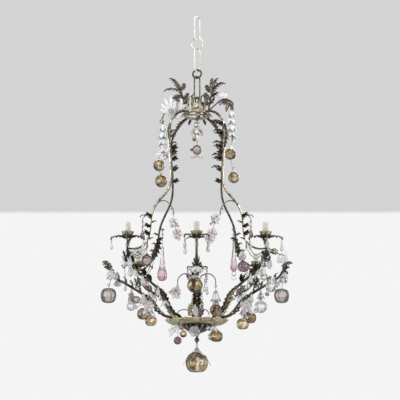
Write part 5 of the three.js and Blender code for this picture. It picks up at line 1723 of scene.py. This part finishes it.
# Small glass on each arm: share of its length, side, rise, glass, length and width
ARM_CRYSTALS = {
    "front_left": [
        (0.66, 16, -6, "petal", 34, 15), (0.56, -14, 4, "pink", 28, 14), (0.46, 16, -4, "petal", 36, 16),
        (0.36, -12, 0, "clear", 30, 14), (0.84, -14, 0, "clear", 30, 13), (0.92, -18, -26, "clear", 46, 20),
        (0.76, -16, 4, "petal", 44, 20), (0.9, 16, -20, "petal", 44, 20),
    ],
    "front_right": [
        (0.66, -16, 0, "petal", 36, 16), (0.56, 14, -4, "clear", 32, 14), (0.84, -14, 4, "clear", 30, 13),
        (0.36, 14, 0, "clear", 28, 13), (0.76, 16, 6, "clear", 46, 20), (0.92, 18, -26, "petal", 48, 22),
        (0.9, -16, -20, "clear", 44, 18),
    ],
    "left": [
        (0.5, 14, 0, "petal", 34, 15), (0.72, -14, 0, "pink", 30, 14), (0.82, 16, 0, "clear", 36, 15),
        (0.8, -20, 14, "petal", 40, 20), (0.48, 20, 4, "petal", 44, 20),
    ],
    "right": [
        (0.5, -14, 0, "petal", 34, 15), (0.7, -18, 0, "clear", 32, 15), (0.82, 16, 0, "clear", 36, 15),
        (0.5, 18, 8, "petal", 44, 20), (0.78, -20, 14, "petal", 40, 20),
    ],
    "back_left": [(0.5, 14, 0, "clear", 32, 14), (0.7, -14, 0, "pink", 30, 13),
                  (0.84, 14, 2, "clear", 30, 13)],
    "back_right": [(0.5, -14, 0, "clear", 32, 14), (0.7, 14, 0, "pink", 30, 13),
                   (0.84, -14, 2, "clear", 30, 13)],
}
# Petals on each arm: share of its length, how many, their length and width, and their glass
ARM_FLOWERS = {
    "left": [(0.82, 5, 24, 17, "petal"), (0.47, 6, 32, 20, "petal")],
    "right": [(0.81, 5, 24, 17, "petal"), (0.44, 6, 34, 20, "petal")],
    "front_left": [(0.74, 5, 28, 16, "petal"), (0.6, 5, 28, 17, "pink"), (0.3, 5, 28, 16, "petal")],
    "front_right": [(0.74, 5, 28, 16, "petal")],
    "back_left": [(0.6, 5, 28, 16, "petal")],
    "back_right": [(0.6, 5, 28, 16, "petal")],
}


def make_arm_glass(name, line):
    """The crystals and flowers on an arm."""
    arm = on(f"{name}_arm")
    across = heading(ARMS[name][0] + 90)
    for share, side, rise, glass_name, length, width in ARM_CRYSTALS.get(name, []):
        start = line.at(share)
        end = start + across * side + UP * rise
        arm.add("bronze", tube(bowed(start, end, UP * 6), 0.9, sides=8))
        arm.add(f"{glass_name}_glass", gem(end, length, width, tone=0.4))
        arm.add("clear_glass", ball(end, 3.4))
    for share, count, length, width, glass_name in ARM_FLOWERS.get(name, []):
        top = line.at(share) - UP * 5
        clear_petals(f"{name}_arm", top, count, length, width, 0.7, 17 * count * share, f"{glass_name}_glass")


# Drops under the tips of each cup's leaves: the leaf's turn, fall, length and width, and the petal glass ones
CUP_DROPS = {
    "front": [(225, 20, 32, 14), (315, 16, 30, 13), (45, 14, 28, 12), (135, 12, 32, 15)],
    "front_left": [(135, 16, 34, 15), (225, 14, 30, 13), (315, 14, 28, 12)],
    "front_right": [(45, 16, 34, 15), (315, 12, 36, 15), (225, 14, 28, 12)],
    "back_left": [(135, 16, 30, 13), (45, 14, 30, 13)],
    "back_right": [(45, 16, 30, 13), (225, 14, 30, 13)],
    "back": [(45, 14, 30, 13), (135, 14, 30, 13), (225, 14, 30, 13), (315, 14, 30, 13)],
}
PETAL_DROPS = (("front", 225), ("front_left", 135), ("front_right", 45))


def cup_point(name, rise):
    """A point in the middle of a cup, above or below the top of its post."""
    azimuth, reach, drop, _ = ARMS[name]
    return polar(azimuth, reach, POST_TOP_LEVEL - drop + rise)


def cup_drop(name, turn, fall, length, width):
    """A small glass drop on a wire under the tip of a cup's leaf."""
    cup = on(f"{name}_cup")
    top = cup_point(name, 4) + heading(ARMS[name][0] + turn) * 60
    cup.add("bronze", wire(top + UP * 3, top - UP * fall, FINE_WIRE))
    finish = "petal_glass" if (name, turn) in PETAL_DROPS else "clear_glass"
    cup.add(finish, ball(top - UP * (fall - 2), 3.2), gem(top - UP * fall, length, width))


def make_side_fruit():
    """The amber ball, the leaf and the white drops beside the front right cup, and the front cup's flower."""
    root = cup_point("front_right", -8)
    cup = on("front_right_cup")
    amber = root + vec(30, -10, -38)
    cup.add("amber_glass", ball(amber, 14, 0.85, tone=0.5))
    cup.add("dark_bronze", wire(root + vec(2, -4, -20), amber, 1.6))
    path = bowed(root + vec(4, -4, -26), amber + vec(40, -4, -10), -UP * 8)
    cup.add("dark_bronze", leaf(path, UP, 26, 4))
    for aside, fall in ((16, 14), (30, 16), (42, 10)):
        top = amber + vec(aside, -6, -fall)
        cup.add("bronze", wire(top + UP * 8, top, 0.8))
        cup.add("petal_glass", gem(top, 34, 16, tone=0.3))
    blossom = cup_point("front", 4) + vec(48, -30, -8)
    on("front_cup").add("blush_glass", flower(blossom, unit(vec(0.2, -1, 0)), 34))


def make_all():
    lines = {name: arm_line(*plan) for name, plan in ARMS.items()}
    make_chain()
    make_hub()
    make_left_spray()
    make_right_spray()
    for name, line in lines.items():
        if "_" in name:
            make_stem(name, line)
        make_arm(name, line)
    make_arm_eyes(lines)
    make_front_scrolls(lines["front"])
    make_front_buds(lines["front"])
    for name, line in lines.items():
        make_arm_glass(name, line)
    for name, (_, _, _, candle_arm) in ARMS.items():
        if candle_arm:
            make_cup(name)
    for name, plans in CUP_DROPS.items():
        for plan in plans:
            cup_drop(name, *plan)
    make_side_fruit()
    make_dish()
    make_boss()
    make_finial()
    make_strings()
    for piece in Piece.every.values():
        piece.make()


make_all()

# Light, floor and camera

EYE_LEVEL = -1.66
DISTANCE = 3.1206
# How far the camera stands to the right of the chandelier's middle
CAMERA_ASIDE = 0.0126
TILT = 14.63
FOCAL = 768 / 400
SENSOR = 36
FLOOR_LEVEL = -3.22
FLOOR_HALF = 24.0
MIDDLE = (0, 0, -0.95)


def make_camera():
    camera = bpy.data.cameras.new("camera")
    camera.sensor_width = SENSOR
    camera.lens = SENSOR * FOCAL
    camera.clip_end = 60
    holder = new_object("camera", camera)
    holder.location = (CAMERA_ASIDE, -DISTANCE, EYE_LEVEL)
    holder.rotation_euler = (math.radians(90 + TILT), 0, 0)
    bpy.context.scene.camera = holder


def make_lamp(name, place, size, power, colour=(1, 1, 1)):
    """A lamp that shines at the middle of the chandelier and isn't seen through its glass."""
    lamp = bpy.data.lights.new(name, "AREA")
    lamp.shape = "RECTANGLE"
    lamp.size, lamp.size_y = size
    lamp.energy = power
    lamp.color = colour
    lamp.specular_factor = 0.45
    holder = new_object(name, lamp)
    holder.visible_transmission = False
    holder.location = place
    holder.rotation_euler = (Vector(MIDDLE) - Vector(place)).to_track_quat("-Z", "Y").to_euler()


def make_floor():
    mesh = bpy.data.meshes.new("floor")
    corners = [(x * FLOOR_HALF, y * FLOOR_HALF, FLOOR_LEVEL) for x, y in ((-1, -1), (1, -1), (1, 1), (-1, 1))]
    mesh.from_pydata(corners, [], [(0, 1, 2, 3)])
    material = bpy.data.materials.new("floor")
    nodes = Nodes(material)
    shade = nodes.ramp(nodes.noise(1.5, 3), (0.3, (0.80, 0.80, 0.79)), (0.7, (0.83, 0.83, 0.82)))
    nodes.feed("Base Color", shade)
    nodes.fix("Roughness", 0.85)
    nodes.fix("Emission Color", (1, 1, 0.99, 1))
    seen = nodes.add("ShaderNodeLightPath").outputs["Is Camera Ray"]
    nodes.feed("Emission Strength", nodes.spread(seen, 0, 0.36))
    mesh.materials.append(material)
    new_object("floor", mesh)


# The slopes between which the backdrop turns from white to grey
BACKDROP_EDGE = (0.242, 0.2455)
# The dark cards that stand round the room
CARDS = 8


def room_shade(sky, place):
    """How dark the room that glass and metal show is: dark cards between its windows, and a dark ceiling."""
    angle = sky.worked_out("ARCTAN2", place.outputs["Y"], place.outputs["X"])
    repeated = sky.add("ShaderNodeMath", operation="MULTIPLY")
    sky.join(angle, repeated.inputs[0])
    repeated.inputs[1].default_value = CARDS
    wave = sky.worked_out("COSINE", repeated.outputs[0])
    card = sky.spread(wave, 0.75, 0, -1, -0.4)
    ceiling = sky.spread(place.outputs["Z"], 0, 0.8, 0.5, 0.85)
    return sky.worked_out("MAXIMUM", card, ceiling)


def make_world():
    """A pale room: plain light for the fill, and a backdrop that is greyer above."""
    world = bpy.data.worlds.new("world")
    bpy.context.scene.world = world
    sky = Nodes(world)
    sky.tree.nodes.clear()
    place = sky.add("ShaderNodeSeparateXYZ")
    sky.join(sky.add("ShaderNodeTexCoord").outputs["Generated"], place.inputs[0])
    sides = [sky.worked_out("ABSOLUTE", place.outputs[axis]) for axis in ("X", "Y")]
    slope = sky.worked_out("DIVIDE", place.outputs["Z"], sky.worked_out("MAXIMUM", *sides))
    low, high = BACKDROP_EDGE
    backdrop = sky.ramp(slope, (low, (0.905, 0.905, 0.91)), (high, (0.655, 0.655, 0.665)))
    mirrored = sky.towards(room_shade(sky, place), backdrop, (0.2, 0.195, 0.19))
    path = sky.add("ShaderNodeLightPath")
    both = sky.worked_out("MAXIMUM", path.outputs["Is Glossy Ray"], path.outputs["Is Transmission Ray"])
    looks = sky.towards(both, backdrop, mirrored)
    seen = sky.add("ShaderNodeBackground", Strength=1.0)
    sky.join(looks, seen.inputs["Color"])
    light = sky.add("ShaderNodeBackground", Color=(0.93, 0.96, 1, 1), Strength=0.5)
    choice = sky.add("ShaderNodeMixShader")
    sky.join(sky.worked_out("MAXIMUM", path.outputs["Is Camera Ray"], both), choice.inputs[0])
    sky.join(light.outputs[0], choice.inputs[1])
    sky.join(seen.outputs[0], choice.inputs[2])
    sky.join(choice.outputs[0], sky.add("ShaderNodeOutputWorld").inputs[0])


make_camera()
make_lamp("left window", (-3.0, -1.3, -0.5), (1.1, 2.4), 56, (1, 0.99, 0.96))
make_lamp("right window", (3.1, -1.1, -0.6), (1.1, 2.4), 44, (0.97, 0.98, 1))
make_lamp("top", (0.4, -2.0, 1.6), (1.6, 1.0), 38)
make_lamp("back", (0.8, 3.0, 0.7), (2.4, 1.2), 34)
make_floor()
make_world()
bpy.context.scene.view_settings.view_transform = "Standard"
